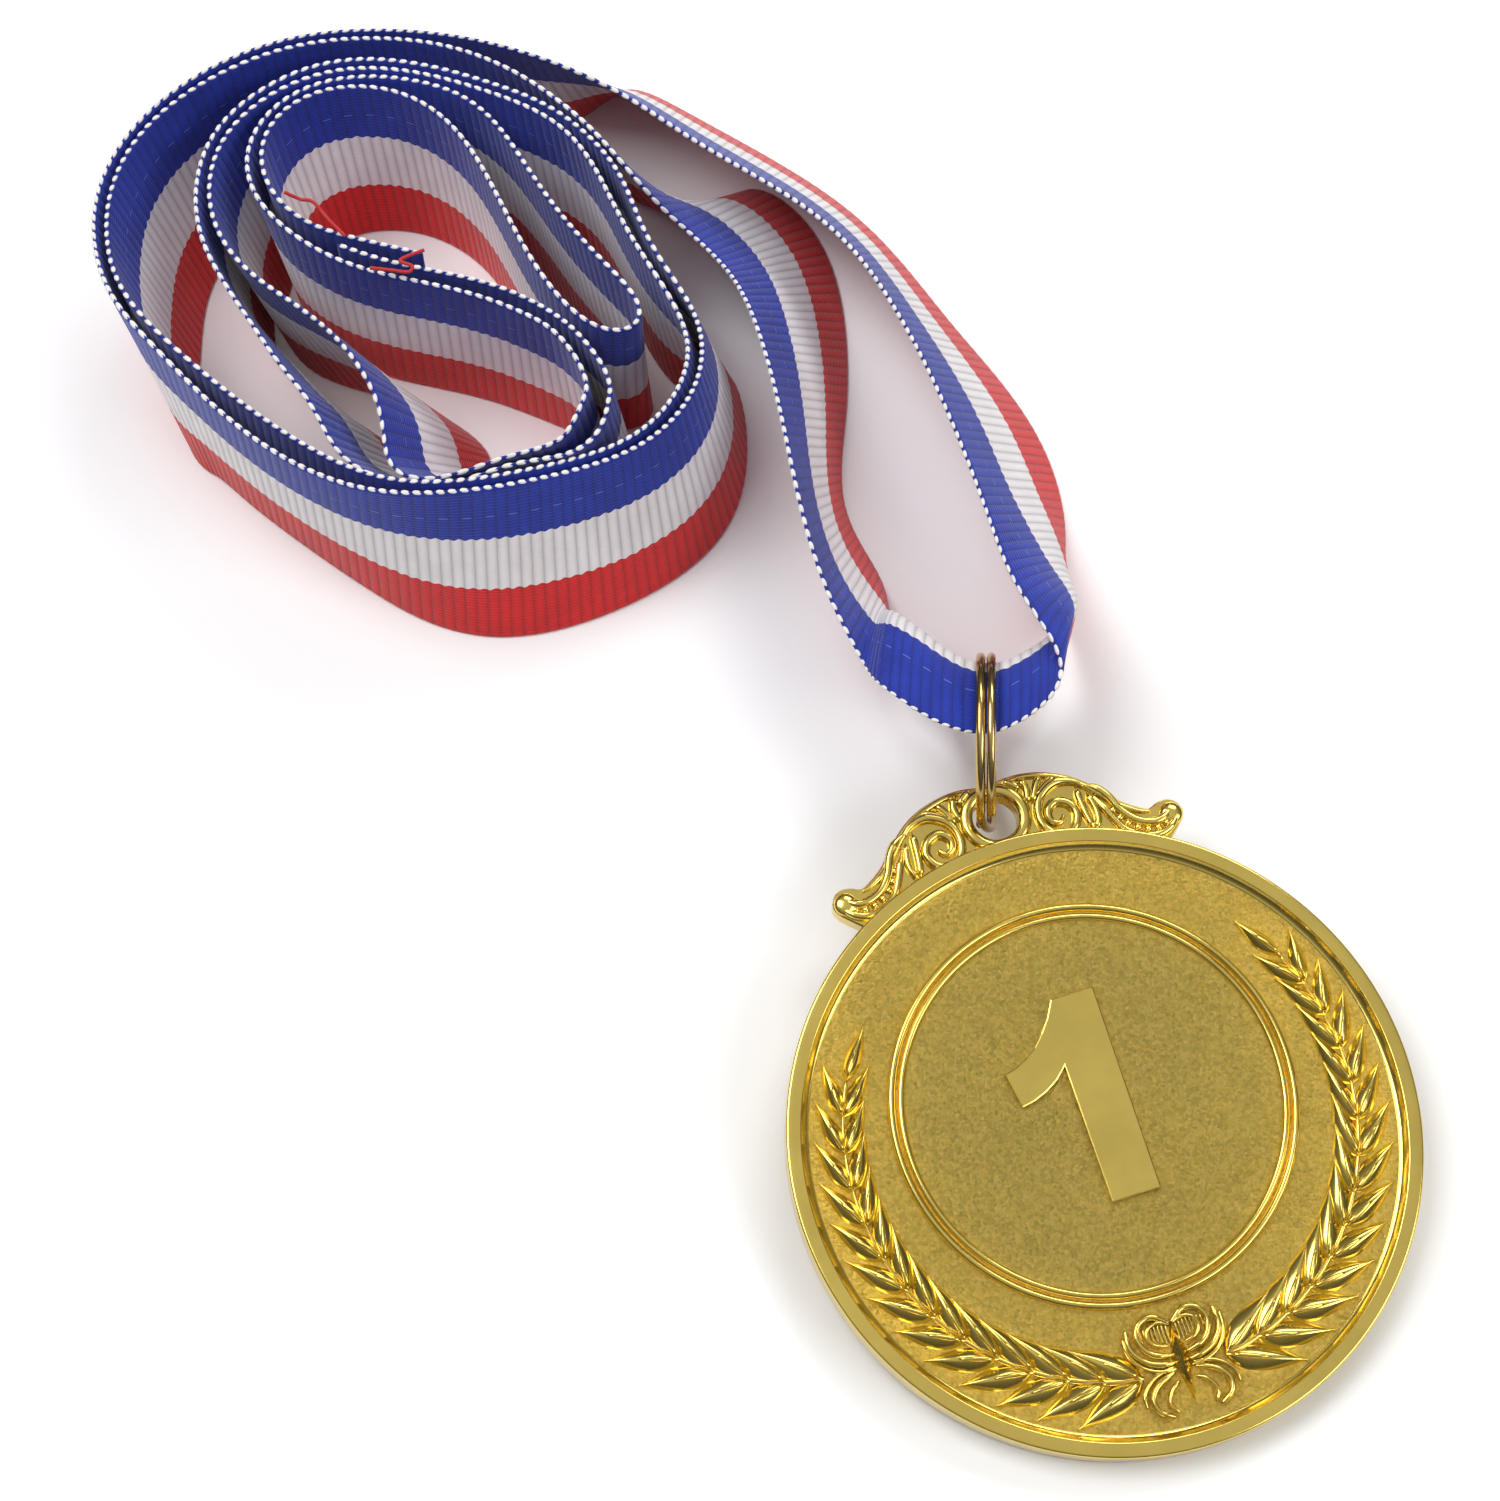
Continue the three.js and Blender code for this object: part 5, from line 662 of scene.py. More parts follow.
# --------------------------------------------------------------- node helpers
class Nodes:
    def __init__(self, name):
        self.mat = bpy.data.materials.new(name)
        self.mat.use_nodes = True
        self.t = self.mat.node_tree
        self.t.nodes.clear()
        self.out = self.t.nodes.new("ShaderNodeOutputMaterial")
        self.bsdf = self.t.nodes.new("ShaderNodeBsdfPrincipled")
        self.t.links.new(self.bsdf.outputs[0], self.out.inputs["Surface"])

    def n(self, kind, **kw):
        node = self.t.nodes.new("ShaderNode" + kind)
        for k, v in kw.items():
            setattr(node, k, v)
        return node

    def link(self, a, b):
        self.t.links.new(a, b)

    def set(self, node, key, value):
        node.inputs[key].default_value = value

    def math(self, op, a, b=None, c=None, clamp=False):
        m = self.n("Math", operation=op, use_clamp=clamp)
        for i, x in enumerate((a, b, c)):
            if x is None:
                continue
            if isinstance(x, (int, float)):
                m.inputs[i].default_value = x
            else:
                self.link(x, m.inputs[i])
        return m.outputs[0]

    def object_coords(self):
        return self.n("TexCoord").outputs["Object"]

    def noise(self, vector, scale, detail=3.0, rough=0.5):
        x = self.n("TexNoise")
        self.set(x, "Scale", scale)
        self.set(x, "Detail", detail)
        self.set(x, "Roughness", rough)
        self.link(vector, x.inputs["Vector"])
        return x.outputs["Fac"]

    def ramp(self, fac, stops):
        r = self.n("ValToRGB")
        e = r.color_ramp.elements
        while len(e) < len(stops):
            e.new(0.5)
        for el, (p, c) in zip(e, stops):
            el.position = p
            el.color = (*c, 1) if len(c) == 3 else c
        self.link(fac, r.inputs[0])
        return r.outputs[0]

    def mix(self, fac, a, b):
        m = self.n("Mix", data_type="RGBA")
        for key, x in ((0, fac), (6, a), (7, b)):
            if isinstance(x, (int, float)):
                m.inputs[key].default_value = x
            elif isinstance(x, tuple):
                m.inputs[key].default_value = (*x, 1)
            else:
                self.link(x, m.inputs[key])
        return m.outputs[2]

    def bump(self, height, strength, distance, normal=None):
        b = self.n("Bump")
        self.set(b, "Strength", strength)
        self.set(b, "Distance", distance)
        self.link(height, b.inputs["Height"])
        if normal is not None:
            self.link(normal, b.inputs["Normal"])
        return b.outputs[0]


def srgb(r, g, b):
    f = lambda c: (c / 255 / 12.92) if c / 255 <= 0.04045 else ((c / 255 + 0.055) / 1.055) ** 2.4
    return (f(r), f(g), f(b))


GOLD = srgb(236, 208, 108)


def gold(name, rough, grain=0.0, colour=GOLD, dark=0.78, lines=False):
    m = Nodes(name)
    co = m.object_coords()
    wear = m.noise(co, 140, 4, 0.55)
    m.link(m.mix(m.ramp(wear, [(0.38, (0, 0, 0)), (0.66, (1, 1, 1))]), tuple(c * dark for c in colour), colour), m.bsdf.inputs["Base Color"])
    fine = m.noise(co, 900, 3, 0.6)
    m.link(m.math("MULTIPLY_ADD", fine, rough * 0.5, rough * 0.75), m.bsdf.inputs["Roughness"])
    m.set(m.bsdf, "Metallic", 1.0)
    if grain:
        v = m.n("TexVoronoi", feature="F1")
        m.set(v, "Scale", 2900)
        m.link(co, v.inputs["Vector"])
        g2 = m.noise(co, 3000, 4, 0.7)
        h = m.math("ADD", m.math("MULTIPLY", v.outputs["Distance"], -0.7), m.math("MULTIPLY", g2, 1.6))
        m.link(m.bump(h, grain, 0.00030), m.bsdf.inputs["Normal"])
        # painted glints: random darker and brighter base colour per grain cell stands in for the sparkle of the
        # sandblasted surface
        cell = m.n("SeparateXYZ")
        m.link(v.outputs["Color"], cell.inputs[0])
        painted_glint_speck = m.ramp(cell.outputs[0], [(0.0, tuple(c * 0.68 for c in colour)), (0.55, colour), (1.0, tuple(min(1, c * 1.12 + 0.05) for c in colour))])
        m.link(m.mix(0.55, m.bsdf.inputs["Base Color"].links[0].from_socket, painted_glint_speck), m.bsdf.inputs["Base Color"])
    else:
        h = m.noise(co, 420, 3, 0.5)
        m.link(m.bump(h, 0.10, 0.00006), m.bsdf.inputs["Normal"])
    return m.mat


def cloth():
    m = Nodes("ribbon_cloth")
    uv = m.n("TexCoord").outputs["UV"]
    sep = m.n("SeparateXYZ")
    m.link(uv, sep.inputs[0])
    u, v = sep.outputs[0], sep.outputs[1]          # metres along, metres across
    co = m.object_coords()
    fray = m.noise(co, 900, 2, 0.5)
    wob = m.math("MULTIPLY", m.math("SINE", m.math("MULTIPLY", u, 2 * math.pi / (RIB * MM))), 0.00011)
    vv = m.math("ADD", m.math("ADD", v, wob), m.math("MULTIPLY_ADD", fray, 0.0003, -0.00015))
    s1 = m.math("GREATER_THAN", vv, STRIPE * MM)
    s2 = m.math("GREATER_THAN", vv, 2 * STRIPE * MM)
    tone = m.noise(co, 260, 4, 0.6)
    blue = m.mix(tone, srgb(12, 28, 128), srgb(34, 62, 182))
    white = m.mix(tone, srgb(222, 214, 216), srgb(246, 242, 243))
    red = m.mix(tone, srgb(190, 14, 20), srgb(232, 36, 38))
    # painted shade: the colour is darkened in the groove at each rib
    rib = m.math("ABSOLUTE", m.math("SINE", m.math("MULTIPLY", u, math.pi / (RIB * MM))))
    groove = m.math("POWER", rib, 0.45, clamp=True)
    painted_groove_shade = m.math("MULTIPLY_ADD", groove, 0.46, 0.56)
    base = m.mix(s2, m.mix(s1, blue, white), red)
    # pin dashes along the middle of the blue stripe
    d1 = m.math("LESS_THAN", m.math("ABSOLUTE", m.math("SUBTRACT", v, 0.0041)), 0.00007)
    d2 = m.math("GREATER_THAN", m.math("SINE", m.math("MULTIPLY", u, 2 * math.pi / (2 * RIB * MM))), 0.35)
    base = m.mix(m.math("MULTIPLY", m.math("MULTIPLY", d1, d2), 0.4), base, srgb(130, 148, 215))
    hsv = m.n("HueSaturation")
    m.link(base, hsv.inputs["Color"])
    m.link(painted_groove_shade, hsv.inputs["Value"])
    m.link(hsv.outputs[0], m.bsdf.inputs["Base Color"])
    m.link(m.math("MULTIPLY_ADD", tone, 0.2, 0.62), m.bsdf.inputs["Roughness"])
    m.set(m.bsdf, "Sheen Weight", 0.25)
    m.set(m.bsdf, "Sheen Roughness", 0.45)
    m.set(m.bsdf, "Specular IOR Level", 0.35)
    # weft ribs carry fine warp yarns across them
    warp = m.math("ABSOLUTE", m.math("SINE", m.math("MULTIPLY", v, math.pi / 0.00042)))
    stag = m.math("ABSOLUTE", m.math("SINE", m.math("ADD", m.math("MULTIPLY", v, math.pi / 0.00021), m.math("MULTIPLY", u, math.pi / (RIB * MM)))))
    h = m.math("ADD", m.math("MULTIPLY", warp, 0.5), m.math("MULTIPLY", stag, 0.35))
    h = m.math("ADD", h, m.math("MULTIPLY", m.noise(co, 2600, 2, 0.6), 0.7))
    n1 = m.bump(h, 0.55, 0.00010)
    n2 = m.bump(groove, 0.5, 0.00016, n1)
    m.link(n2, m.bsdf.inputs["Normal"])
    return m.mat


def yarn(name, a, b, pitch=0.0006):
    m = Nodes(name)
    co = m.object_coords()
    tone = m.noise(co, 1400, 3, 0.6)
    m.link(m.mix(tone, a, b), m.bsdf.inputs["Base Color"])
    m.link(m.math("MULTIPLY_ADD", tone, 0.2, 0.6), m.bsdf.inputs["Roughness"])
    w = m.n("TexWave", wave_type="BANDS", bands_direction="DIAGONAL")
    m.set(w, "Scale", 1 / pitch / 6.28)
    m.set(w, "Distortion", 1.5)
    m.link(co, w.inputs["Vector"])
    m.link(m.bump(w.outputs["Fac"], 0.5, 0.00008), m.bsdf.inputs["Normal"])
    m.set(m.bsdf, "Sheen Weight", 0.2)
    return m.mat


# -------------------------------------------------------------- mesh helpers
def make(name, verts, faces, material, smooth=True, uvs=None, matrix=None):
    me = bpy.data.meshes.new(name)
    verts = np.asarray(verts, float) * MM
    me.from_pydata([tuple(p) for p in verts], [], faces)
    if uvs is not None:
        layer = me.uv_layers.new(name="UVMap")
        loops = np.empty(len(me.loops), int)
        me.loops.foreach_get("vertex_index", loops)
        layer.data.foreach_set("uv", (np.asarray(uvs, float)[loops] * MM).ravel())
    if smooth:
        me.polygons.foreach_set("use_smooth", [True] * len(me.polygons))
    me.update()
    o = bpy.data.objects.new(name, me)
    bpy.context.collection.objects.link(o)
    for x in material if isinstance(material, (list, tuple)) else [material]:
        me.materials.append(x)
    if matrix is not None:
        me.transform(matrix)
        me.update()
    return o


def recalc(o):
    bm = bmesh.new()
    bm.from_mesh(o.data)
    bmesh.ops.recalc_face_normals(bm, faces=bm.faces)
    bm.to_mesh(o.data)
    bm.free()


def catmull(pts, per):
    p = np.asarray(pts, float)
    p = np.vstack([2 * p[0] - p[1], p, 2 * p[-1] - p[-2]])
    out = []
    for i in range(1, len(p) - 2):
        t = np.linspace(0, 1, per, endpoint=False)[:, None]
        a, b, c, d = p[i - 1], p[i], p[i + 1], p[i + 2]
        out.append(0.5 * (2 * b + (c - a) * t + (2 * a - 5 * b + 4 * c - d) * t**2 + (3 * b - a - 3 * c + d) * t**3))
    out.append(p[-2][None])
    return np.vstack(out)


def respace(p, step):
    L = np.r_[0, np.cumsum(np.linalg.norm(np.diff(p, axis=0), axis=1))]
    n = max(2, int(round(L[-1] / step)) + 1)
    q = np.linspace(0, L[-1], n)
    return np.stack([np.interp(q, L, p[:, k]) for k in range(p.shape[1])], 1)


def tube(points, radius, sides=12, up=(0, 0, 1), flat=1.0, cap=True):
    """A swept round bead along points; radius is a number or one per point."""
    p = np.asarray(points, float)
    n = len(p)
    r = np.broadcast_to(np.asarray(radius, float), (n,))
    t = np.gradient(p, axis=0)
    t /= np.linalg.norm(t, axis=1)[:, None]
    a = np.cross(t, np.asarray(up, float))
    ln = np.linalg.norm(a, axis=1)
    a[ln < 1e-6] = (1, 0, 0)
    a /= np.linalg.norm(a, axis=1)[:, None]
    b = np.cross(a, t)
    ang = np.arange(sides) * 2 * math.pi / sides
    v = p[:, None] + r[:, None, None] * (np.cos(ang)[None, :, None] * a[:, None] + flat * np.sin(ang)[None, :, None] * b[:, None])
    v = v.reshape(-1, 3)
    f = []
    for i in range(n - 1):
        for j in range(sides):
            k = (j + 1) % sides
            f.append((i * sides + j, i * sides + k, (i + 1) * sides + k, (i + 1) * sides + j))
    if cap:
        f.append(tuple(range(sides))[::-1])
        f.append(tuple((n - 1) * sides + j for j in range(sides)))
    return v, f


def join(parts):
    V, F, base = [], [], 0
    for v, f in parts:
        V.append(np.asarray(v, float))
        F += [tuple(i + base for i in q) for q in f]
        base += len(v)
    return np.vstack(V), F


def revolve(profile, segments, centre=(0, 0)):
    pr = np.asarray(profile, float)
    n, ang = len(pr), np.arange(segments) * 2 * math.pi / segments
    v = np.stack([centre[0] + np.outer(np.cos(ang), pr[:, 0]), centre[1] + np.outer(np.sin(ang), pr[:, 0]), np.broadcast_to(pr[:, 1], (segments, n))], 2).reshape(-1, 3)
    f = []
    for i in range(segments):
        k = (i + 1) % segments
        for j in range(n - 1):
            q = [i * n + j, k * n + j, k * n + j + 1, i * n + j + 1]
            f.append(tuple(q))
    return v, f


MEDAL = Matrix.Translation(Vector(MEDAL_CENTRE) * MM) @ Matrix.Rotation(MEDAL_YAW, 4, "Z") @ Matrix.Rotation(MEDAL_TILT, 4, "X")

# ---------------------------------------------------------------- materials
polished = gold("gold_polished", 0.17, dark=0.88)
relief = gold("gold_relief", 0.17, dark=0.84)
sand = gold("gold_sandblast", 0.36, grain=0.95, dark=0.97)
wire_gold = gold("ring_wire_gold", 0.16, colour=srgb(206, 176, 112), dark=0.72)
tape = cloth()
dash = yarn("picot_yarn", srgb(214, 208, 206), srgb(250, 247, 242))
red_yarn = yarn("seam_yarn", srgb(150, 14, 18), srgb(222, 36, 34))

# -------------------------------------------------------------- medal casting
R = 32.5


def arc(cx, cy, r, a0, a1, n):
    return [(cx + r * math.cos(math.radians(a)), cy + r * math.sin(math.radians(a))) for a in np.linspace(a0, a1, n)]


FIELD = -0.95
profile = [(0.001, -3.5), (10, -3.5), (22, -3.5), (31.9, -3.5)] + arc(32.1, -3.1, 0.4, -90, 0, 6) + [(32.5, -2.2), (32.5, -0.5)]
profile += arc(32.2, -0.3, 0.3, 0, 90, 6) + [(31.6, 0.0), (31.05, 0.0)] + arc(31.05, -0.16, 0.16, 90, 170, 4)
profile += [(30.55, -0.5), (30.25, -0.82)] + arc(30.05, -0.75, 0.2, -20, -90, 4) + [(27, FIELD), (20, FIELD), (10, FIELD), (0.001, FIELD)]
v, f = revolve(profile, 256)
n = len(profile)
body = make("medal_casting", v, f, [polished, sand], matrix=MEDAL)
field_from = n - 6
for i, p in enumerate(body.data.polygons):
    p.material_index = 1 if (i % (n - 1)) >= field_from or (i % (n - 1)) < 3 else 0
recalc(body)

z_field = FIELD
parts_sand, parts_relief = [], []

# eccentric double bead
for r, h, w in ((20.72, 0.52, 0.46), (19.72, 0.42, 0.42)):
    pr = [(r + w * math.cos(a), FIELD - 0.12 + (h + 0.12) * math.sin(a)) for a in np.linspace(0, math.pi, 11)]
    parts_relief.append(revolve(pr, 220, (0, 3.35)))

# laurel leaves: ridged blades with a raised midrib near the base
def leaf(base, ang, length, width, lift=0.92):
    nu, nv = 15, 9
    d = np.array([math.cos(ang), math.sin(ang)])
    nn = np.array([-d[1], d[0]])
    V = []
    for i in range(nu):
        u = i / (nu - 1)
        half = width / 2 * (math.sin(math.pi * min(1, u * 1.02) ** 0.72) ** 0.85 if 0 < u < 1 else 0.02)
        for j in range(nv):
            s = -1 + 2 * j / (nv - 1)
            ridge = (1 - abs(s) ** 1.35)
            height = FIELD - 0.06 + lift * (0.35 + 0.65 * math.sin(math.pi * min(1, u * 0.9 + 0.12))) * ridge
            if abs(s) > 0.99:
                height = FIELD - 0.12
            V.append([base[0] + d[0] * u * length + nn[0] * s * half, base[1] + d[1] * u * length + nn[1] * s * half, height])
    F = [(i * nv + j, (i + 1) * nv + j, (i + 1) * nv + j + 1, i * nv + j + 1) for i in range(nu - 1) for j in range(nv - 1)]
    # midrib
    m = [[base[0] + d[0] * length * q, base[1] + d[1] * length * q, FIELD + lift * 0.86 * (0.55 + 0.45 * math.sin(math.pi * (0.15 + q)))] for q in np.linspace(0.06, 0.55, 7)]
    mr = tube(m, [0.12, 0.24, 0.28, 0.27, 0.24, 0.18, 0.08], 8)
    return [(np.array(V), F), mr]


PAIRS = 13
for s in (1, -1):
    stem = []
    for i in range(PAIRS + 1):
        k = i / PAIRS
        a = math.radians(-80 + 108 * k)
        r = 24.9 + 1.9 * k
        stem.append([s * r * math.cos(a), r * math.sin(a), FIELD + 0.12])
        base = [r * math.cos(a), r * math.sin(a)]
        along = a + math.pi / 2
        ln, wd = 8.3 - 2.3 * k, 2.95 - 0.95 * k
        for da in ([0.12] if i == PAIRS else [-0.52 + 0.12 * k, 0.47 - 0.06 * k]):
            dr = along + da
            parts_relief += leaf([s * base[0], base[1]], dr if s > 0 else math.pi - dr, ln, wd)
    st = catmull(stem, 8)
    parts_relief.append(tube(st, np.linspace(0.34, 0.16, len(st)), 8))


def bead(points, r0, z=None, taper=0.35, flat=1.0, mirror=(1,), out=None, zc=-0.95, per=10):
    for s in mirror:
        p = [[s * q[0], q[1], (q[2] if len(q) > 2 else zc)] for q in points]
        c = respace(catmull(p, per), 0.18)
        k = np.linspace(0, 1, len(c))
        rr = r0 * (taper + (1 - taper) * np.minimum(1, np.minimum(k, 1 - k) * 7))
        (out if out is not None else parts_relief).append(tube(c, rr, 10, flat=flat))


# bow: banded loops, hatched inside, faceted knot and curled tails
for dz, pts, r in (
    (0, [(-0.1, -19.95), (-1.6, -18.95), (-3.0, -19.2), (-3.7, -20.3), (-3.45, -21.6), (-2.5, -22.6), (-0.8, -23.1)], 0.36),
    (0, [(-0.1, -20.1), (-1.3, -19.65), (-2.4, -20.0), (-2.7, -21.0), (-2.05, -21.8), (-0.9, -22.1)], 0.22),
    (0, [(-4.6, -19.5), (-4.7, -21.4), (-3.7, -22.9), (-2.4, -23.6), (-0.8, -23.9)], 0.34),
    (0, [(-5.15, -20.2), (-5.0, -22.0), (-4.0, -23.5), (-2.5, -24.3), (-0.8, -24.5)], 0.24),
    (0, [(-1.1, -24.7), (-2.9, -25.4), (-4.0, -26.6), (-3.8, -28.0), (-2.4, -28.9)], 0.34),
    (0, [(-0.9, -25.6), (-2.0, -26.4), (-2.5, -27.6), (-1.9, -28.6)], 0.24),
    (0, [(-1.0, -24.2), (-3.2, -24.7), (-4.7, -26.0), (-4.9, -27.4)], 0.22),
):
    bead(pts, r, mirror=(1, -1), zc=FIELD + 0.22, flat=1.3, taper=0.5)
for s in (1, -1):
    for q in np.linspace(0.5, 3.2, 8):
        top = -19.6 - 0.25 * abs(q - 1.9)
        bead([(s * q, top), (s * (q + 0.05), top - 1.2), (s * q, top - 2.4 + 0.35 * q)], 0.11, zc=FIELD + 0.1)
knot = np.array([[0, -19.75, FIELD], [-0.98, -23.2, FIELD], [0, -28.1, FIELD], [0.98, -23.2, FIELD], [0, -21.4, 0.02], [0, -26.4, -0.12], [0, -23.4, 0.1]])
kf = [(0, 1, 4), (1, 6, 4), (1, 5, 6), (1, 2, 5), (2, 3, 5), (3, 6, 5), (3, 4, 6), (3, 0, 4)]
make_knot = (knot, kf)

# numeral
poly = [(-0.9, 14.8), (3.8, 14.9), (3.7, -6.9), (-1.6, -7.0), (-1.75, 7.6), (-2.9, 6.5), (-4.3, 5.65), (-5.8, 5.05), (-7.25, 4.75), (-7.9, 8.6), (-6.6, 8.95), (-5.3, 9.6), (-4.1, 10.4), (-3.0, 11.6), (-1.9, 13.0)]
poly = poly[::-1]


def inset(pts, d):
    p = np.asarray(pts, float)
    a, b = np.roll(p, 1, 0), np.roll(p, -1, 0)
    e1, e2 = p - a, b - p
    e1 /= np.linalg.norm(e1, axis=1)[:, None]
    e2 /= np.linalg.norm(e2, axis=1)[:, None]
    n1, n2 = np.stack([-e1[:, 1], e1[:, 0]], 1), np.stack([-e2[:, 1], e2[:, 0]], 1)
    m = n1 + n2
    m /= (1 + (n1 * n2).sum(1))[:, None]
    return p + d * m


def plateau(pts, z0, z1, bevel, name, material, material_top=None):
    """A raised flat shape with a small sloped edge. Points run counter-clockwise."""
    levels = [(0.0, z0), (0.02, z1 - bevel * 1.1), (bevel * 0.35, z1 - bevel * 0.3), (bevel, z1)]
    rings = [np.column_stack([inset(pts, d), np.full(len(pts), z)]) for d, z in levels]
    n = len(pts)
    V = np.vstack(rings)
    F = [(i * n + j, i * n + (j + 1) % n, (i + 1) * n + (j + 1) % n, (i + 1) * n + j) for i in range(len(levels) - 1) for j in range(n)]
    F.append(tuple((len(levels) - 1) * n + j for j in range(n)))
    o = make(name, V, F, [material, material_top or material], smooth=False, matrix=MEDAL)
    o.data.polygons[len(F) - 1].material_index = 1
    return o


def area2(p):
    p = np.asarray(p, float)
    q = np.roll(p, -1, 0)
    return float((p[:, 0] * q[:, 1] - q[:, 0] * p[:, 1]).sum())


numeral = plateau(poly if area2(poly) > 0 else poly[::-1], FIELD - 0.1, -0.45, 0.16, "medal_numeral", relief, polished)

# ------------------------------------------------------------------ crown
right = [(0, 38.85), (1.2, 39.05), (2.6, 39.25), (4.3, 39.2), (6.4, 38.75), (8.65, 37.8), (10.7, 36.25), (12.05, 34.8), (13.4, 33.35), (14.9, 32.25), (15.95, 31.75), (16.85, 32.1), (18.0, 32.25), (18.95, 31.75), (19.4, 30.75), (19.1, 29.8), (18.1, 28.75), (16.8, 27.6)]
half = respace(catmull(np.array(right), 8), 0.45)
outline = np.vstack([half, (half * [-1, 1])[::-1][:-1]])
outline = outline if area2(outline) > 0 else outline[::-1]
HOLE, HR = np.array([-0.05, 35.2]), 2.45


def crown_plate(name):
    bm = bmesh.new()
    zt, zb = -1.22, -3.35
    edges_top, edges_bot = [], []
    loops = [(outline, 0.14), (np.array([HOLE + HR * np.array([math.cos(a), math.sin(a)]) for a in np.linspace(0, 2 * math.pi, 48, endpoint=False)]), -0.0)]
    rings = []
    for pts, bev in loops:
        top = [bm.verts.new((x * MM, y * MM, zt * MM)) for x, y in (inset(pts, bev) if bev else pts)]
        mid = [bm.verts.new((x * MM, y * MM, (zt - 0.16) * MM)) for x, y in pts] if bev else top
        bot = [bm.verts.new((x * MM, y * MM, zb * MM)) for x, y in pts]
        n = len(top)
        et = [bm.edges.new((top[i], top[(i + 1) % n])) for i in range(n)]
        eb = [bm.edges.new((bot[i], bot[(i + 1) % n])) for i in range(n)]
        for i in range(n):
            k = (i + 1) % n
            if bev:
                bm.faces.new((top[i], top[k], mid[k], mid[i]))
            bm.faces.new((mid[i], mid[k], bot[k], bot[i]))
        edges_top += et
        edges_bot += eb
    bmesh.ops.triangle_fill(bm, edges=edges_top, use_beauty=True)
    bmesh.ops.triangle_fill(bm, edges=edges_bot, use_beauty=True)
    bmesh.ops.recalc_face_normals(bm, faces=bm.faces)
    me = bpy.data.meshes.new(name)
    bm.to_mesh(me)
    bm.free()
    me.transform(MEDAL)
    o = bpy.data.objects.new(name, me)
    bpy.context.collection.objects.link(o)
    me.materials.append(relief)
    return o


crown = crown_plate("medal_crown")
crown_parts = []
ZL = -1.05
# raised outer border that follows the crown's outline
border = respace(catmull(np.array([(x * 0.985, y - 0.35) for x, y in right[:11]]), 8), 0.3)
bead([(2.0, 38.75), (4.2, 38.75), (6.3, 38.25), (8.4, 37.3), (10.2, 35.85), (11.6, 34.35), (13.0, 32.9), (14.7, 31.75), (16.0, 31.35)], 0.34, mirror=(1, -1), out=crown_parts, zc=ZL)
# ribbed lip round the hole
lip = [(HR + 0.02, -1.5)] + [(3.12 + 0.72 * math.cos(a), -1.12 + 0.55 * math.sin(a)) for a in np.linspace(math.pi, 0, 11)] + [(3.86, -1.4)]
crown_parts.append(revolve(lip, 72, tuple(HOLE)))
# acanthus fan
for pts in ([(3.6, 38.6), (4.05, 37.4), (3.75, 35.8)], [(5.8, 38.4), (4.95, 37.1), (4.25, 35.7)], [(7.5, 37.8), (5.9, 37.1), (4.8, 36.0)], [(1.9, 38.85), (3.0, 38.0), (3.2, 37.4)]):
    bead(pts, 0.42, mirror=(1, -1), out=crown_parts, zc=ZL + 0.05, taper=0.3)
# volute
vol = [(9.95, 35.95), (8.95, 36.8), (7.0, 37.15), (5.15, 36.05), (4.4, 34.3), (4.75, 32.5), (6.1, 31.45), (7.6, 31.85), (8.35, 33.3), (7.75, 34.65), (6.4, 35.1), (5.45, 34.3), (5.5, 33.2), (6.35, 32.75), (6.95, 33.4)]
bead(vol, 0.52, mirror=(1, -1), out=crown_parts, zc=ZL + 0.08, taper=0.5)
# leaves beside the volute
for pts, r in (([(9.1, 36.1), (9.15, 34.6), (9.3, 32.9), (9.6, 31.0)], 0.42), ([(10.05, 35.2), (10.4, 33.5), (10.4, 32.2), (9.8, 30.8)], 0.4)):
    bead(pts, r, mirror=(1, -1), out=crown_parts, zc=ZL + 0.05, taper=0.15)
# double arm with small beads between its ridges
armA = [(9.95, 36.1), (11.2, 35.35), (12.15, 34.1), (12.95, 32.3), (14.2, 30.85), (15.8, 30.15), (17.1, 30.3), (18.3, 31.2)]
armB = [(10.6, 34.6), (11.35, 33.0), (12.15, 31.2), (12.9, 30.0), (14.5, 29.0), (16.2, 28.7), (17.7, 29.3), (18.7, 30.4)]
bead(armA, 0.5, mirror=(1, -1), out=crown_parts, zc=ZL + 0.08, taper=0.4)
bead(armB, 0.46, mirror=(1, -1), out=crown_parts, zc=ZL + 0.02, taper=0.4)
A, B = respace(catmull(np.array(armA), 12), 0.1), respace(catmull(np.array(armB), 12), 0.1)
for s in (1, -1):
    for k in np.linspace(0.3, 0.86, 7):
        c = (A[int(k * (len(A) - 1))] + B[int(k * (len(B) - 1))]) / 2
        th = np.linspace(0, math.pi / 2, 5)
        crown_parts.append(revolve([(0.42 * math.cos(a), ZL - 0.12 + 0.36 * math.sin(a)) for a in th], 14, (s * c[0], c[1])))
    th = np.linspace(0, math.pi / 2, 8)
    crown_parts.append(revolve([(1.25 * math.cos(a), ZL - 0.2 + 0.62 * math.sin(a)) for a in th], 28, (s * 18.05, 30.55)))

v, f = join(parts_relief)
laurel = make("medal_laurel_bow_and_beads", v, f, relief, matrix=MEDAL)
recalc(laurel)
v, f = make_knot
knot_o = make("medal_bow_knot", v, f, relief, smooth=False, matrix=MEDAL)
recalc(knot_o)
v, f = join(crown_parts)
scroll = make("medal_crown_scrolls", v, f, relief, matrix=MEDAL)
recalc(scroll)
for o in (body, numeral, crown, laurel, knot_o, scroll):
    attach(o, "medal")
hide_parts("medal")

# -------------------------------------------------------------- split ring
def ring_point(deg):
    k = min(1, max(0, (deg - 334) / 52))
    k = k * k * (3 - 2 * k)
    a = math.radians(deg + 195)
    return RING_CENTRE + RING_OUT * RING_R * math.cos(a) + RING_UP * RING_R * math.sin(a) + RING_AXIS * (k - 0.5) * RING_PITCH


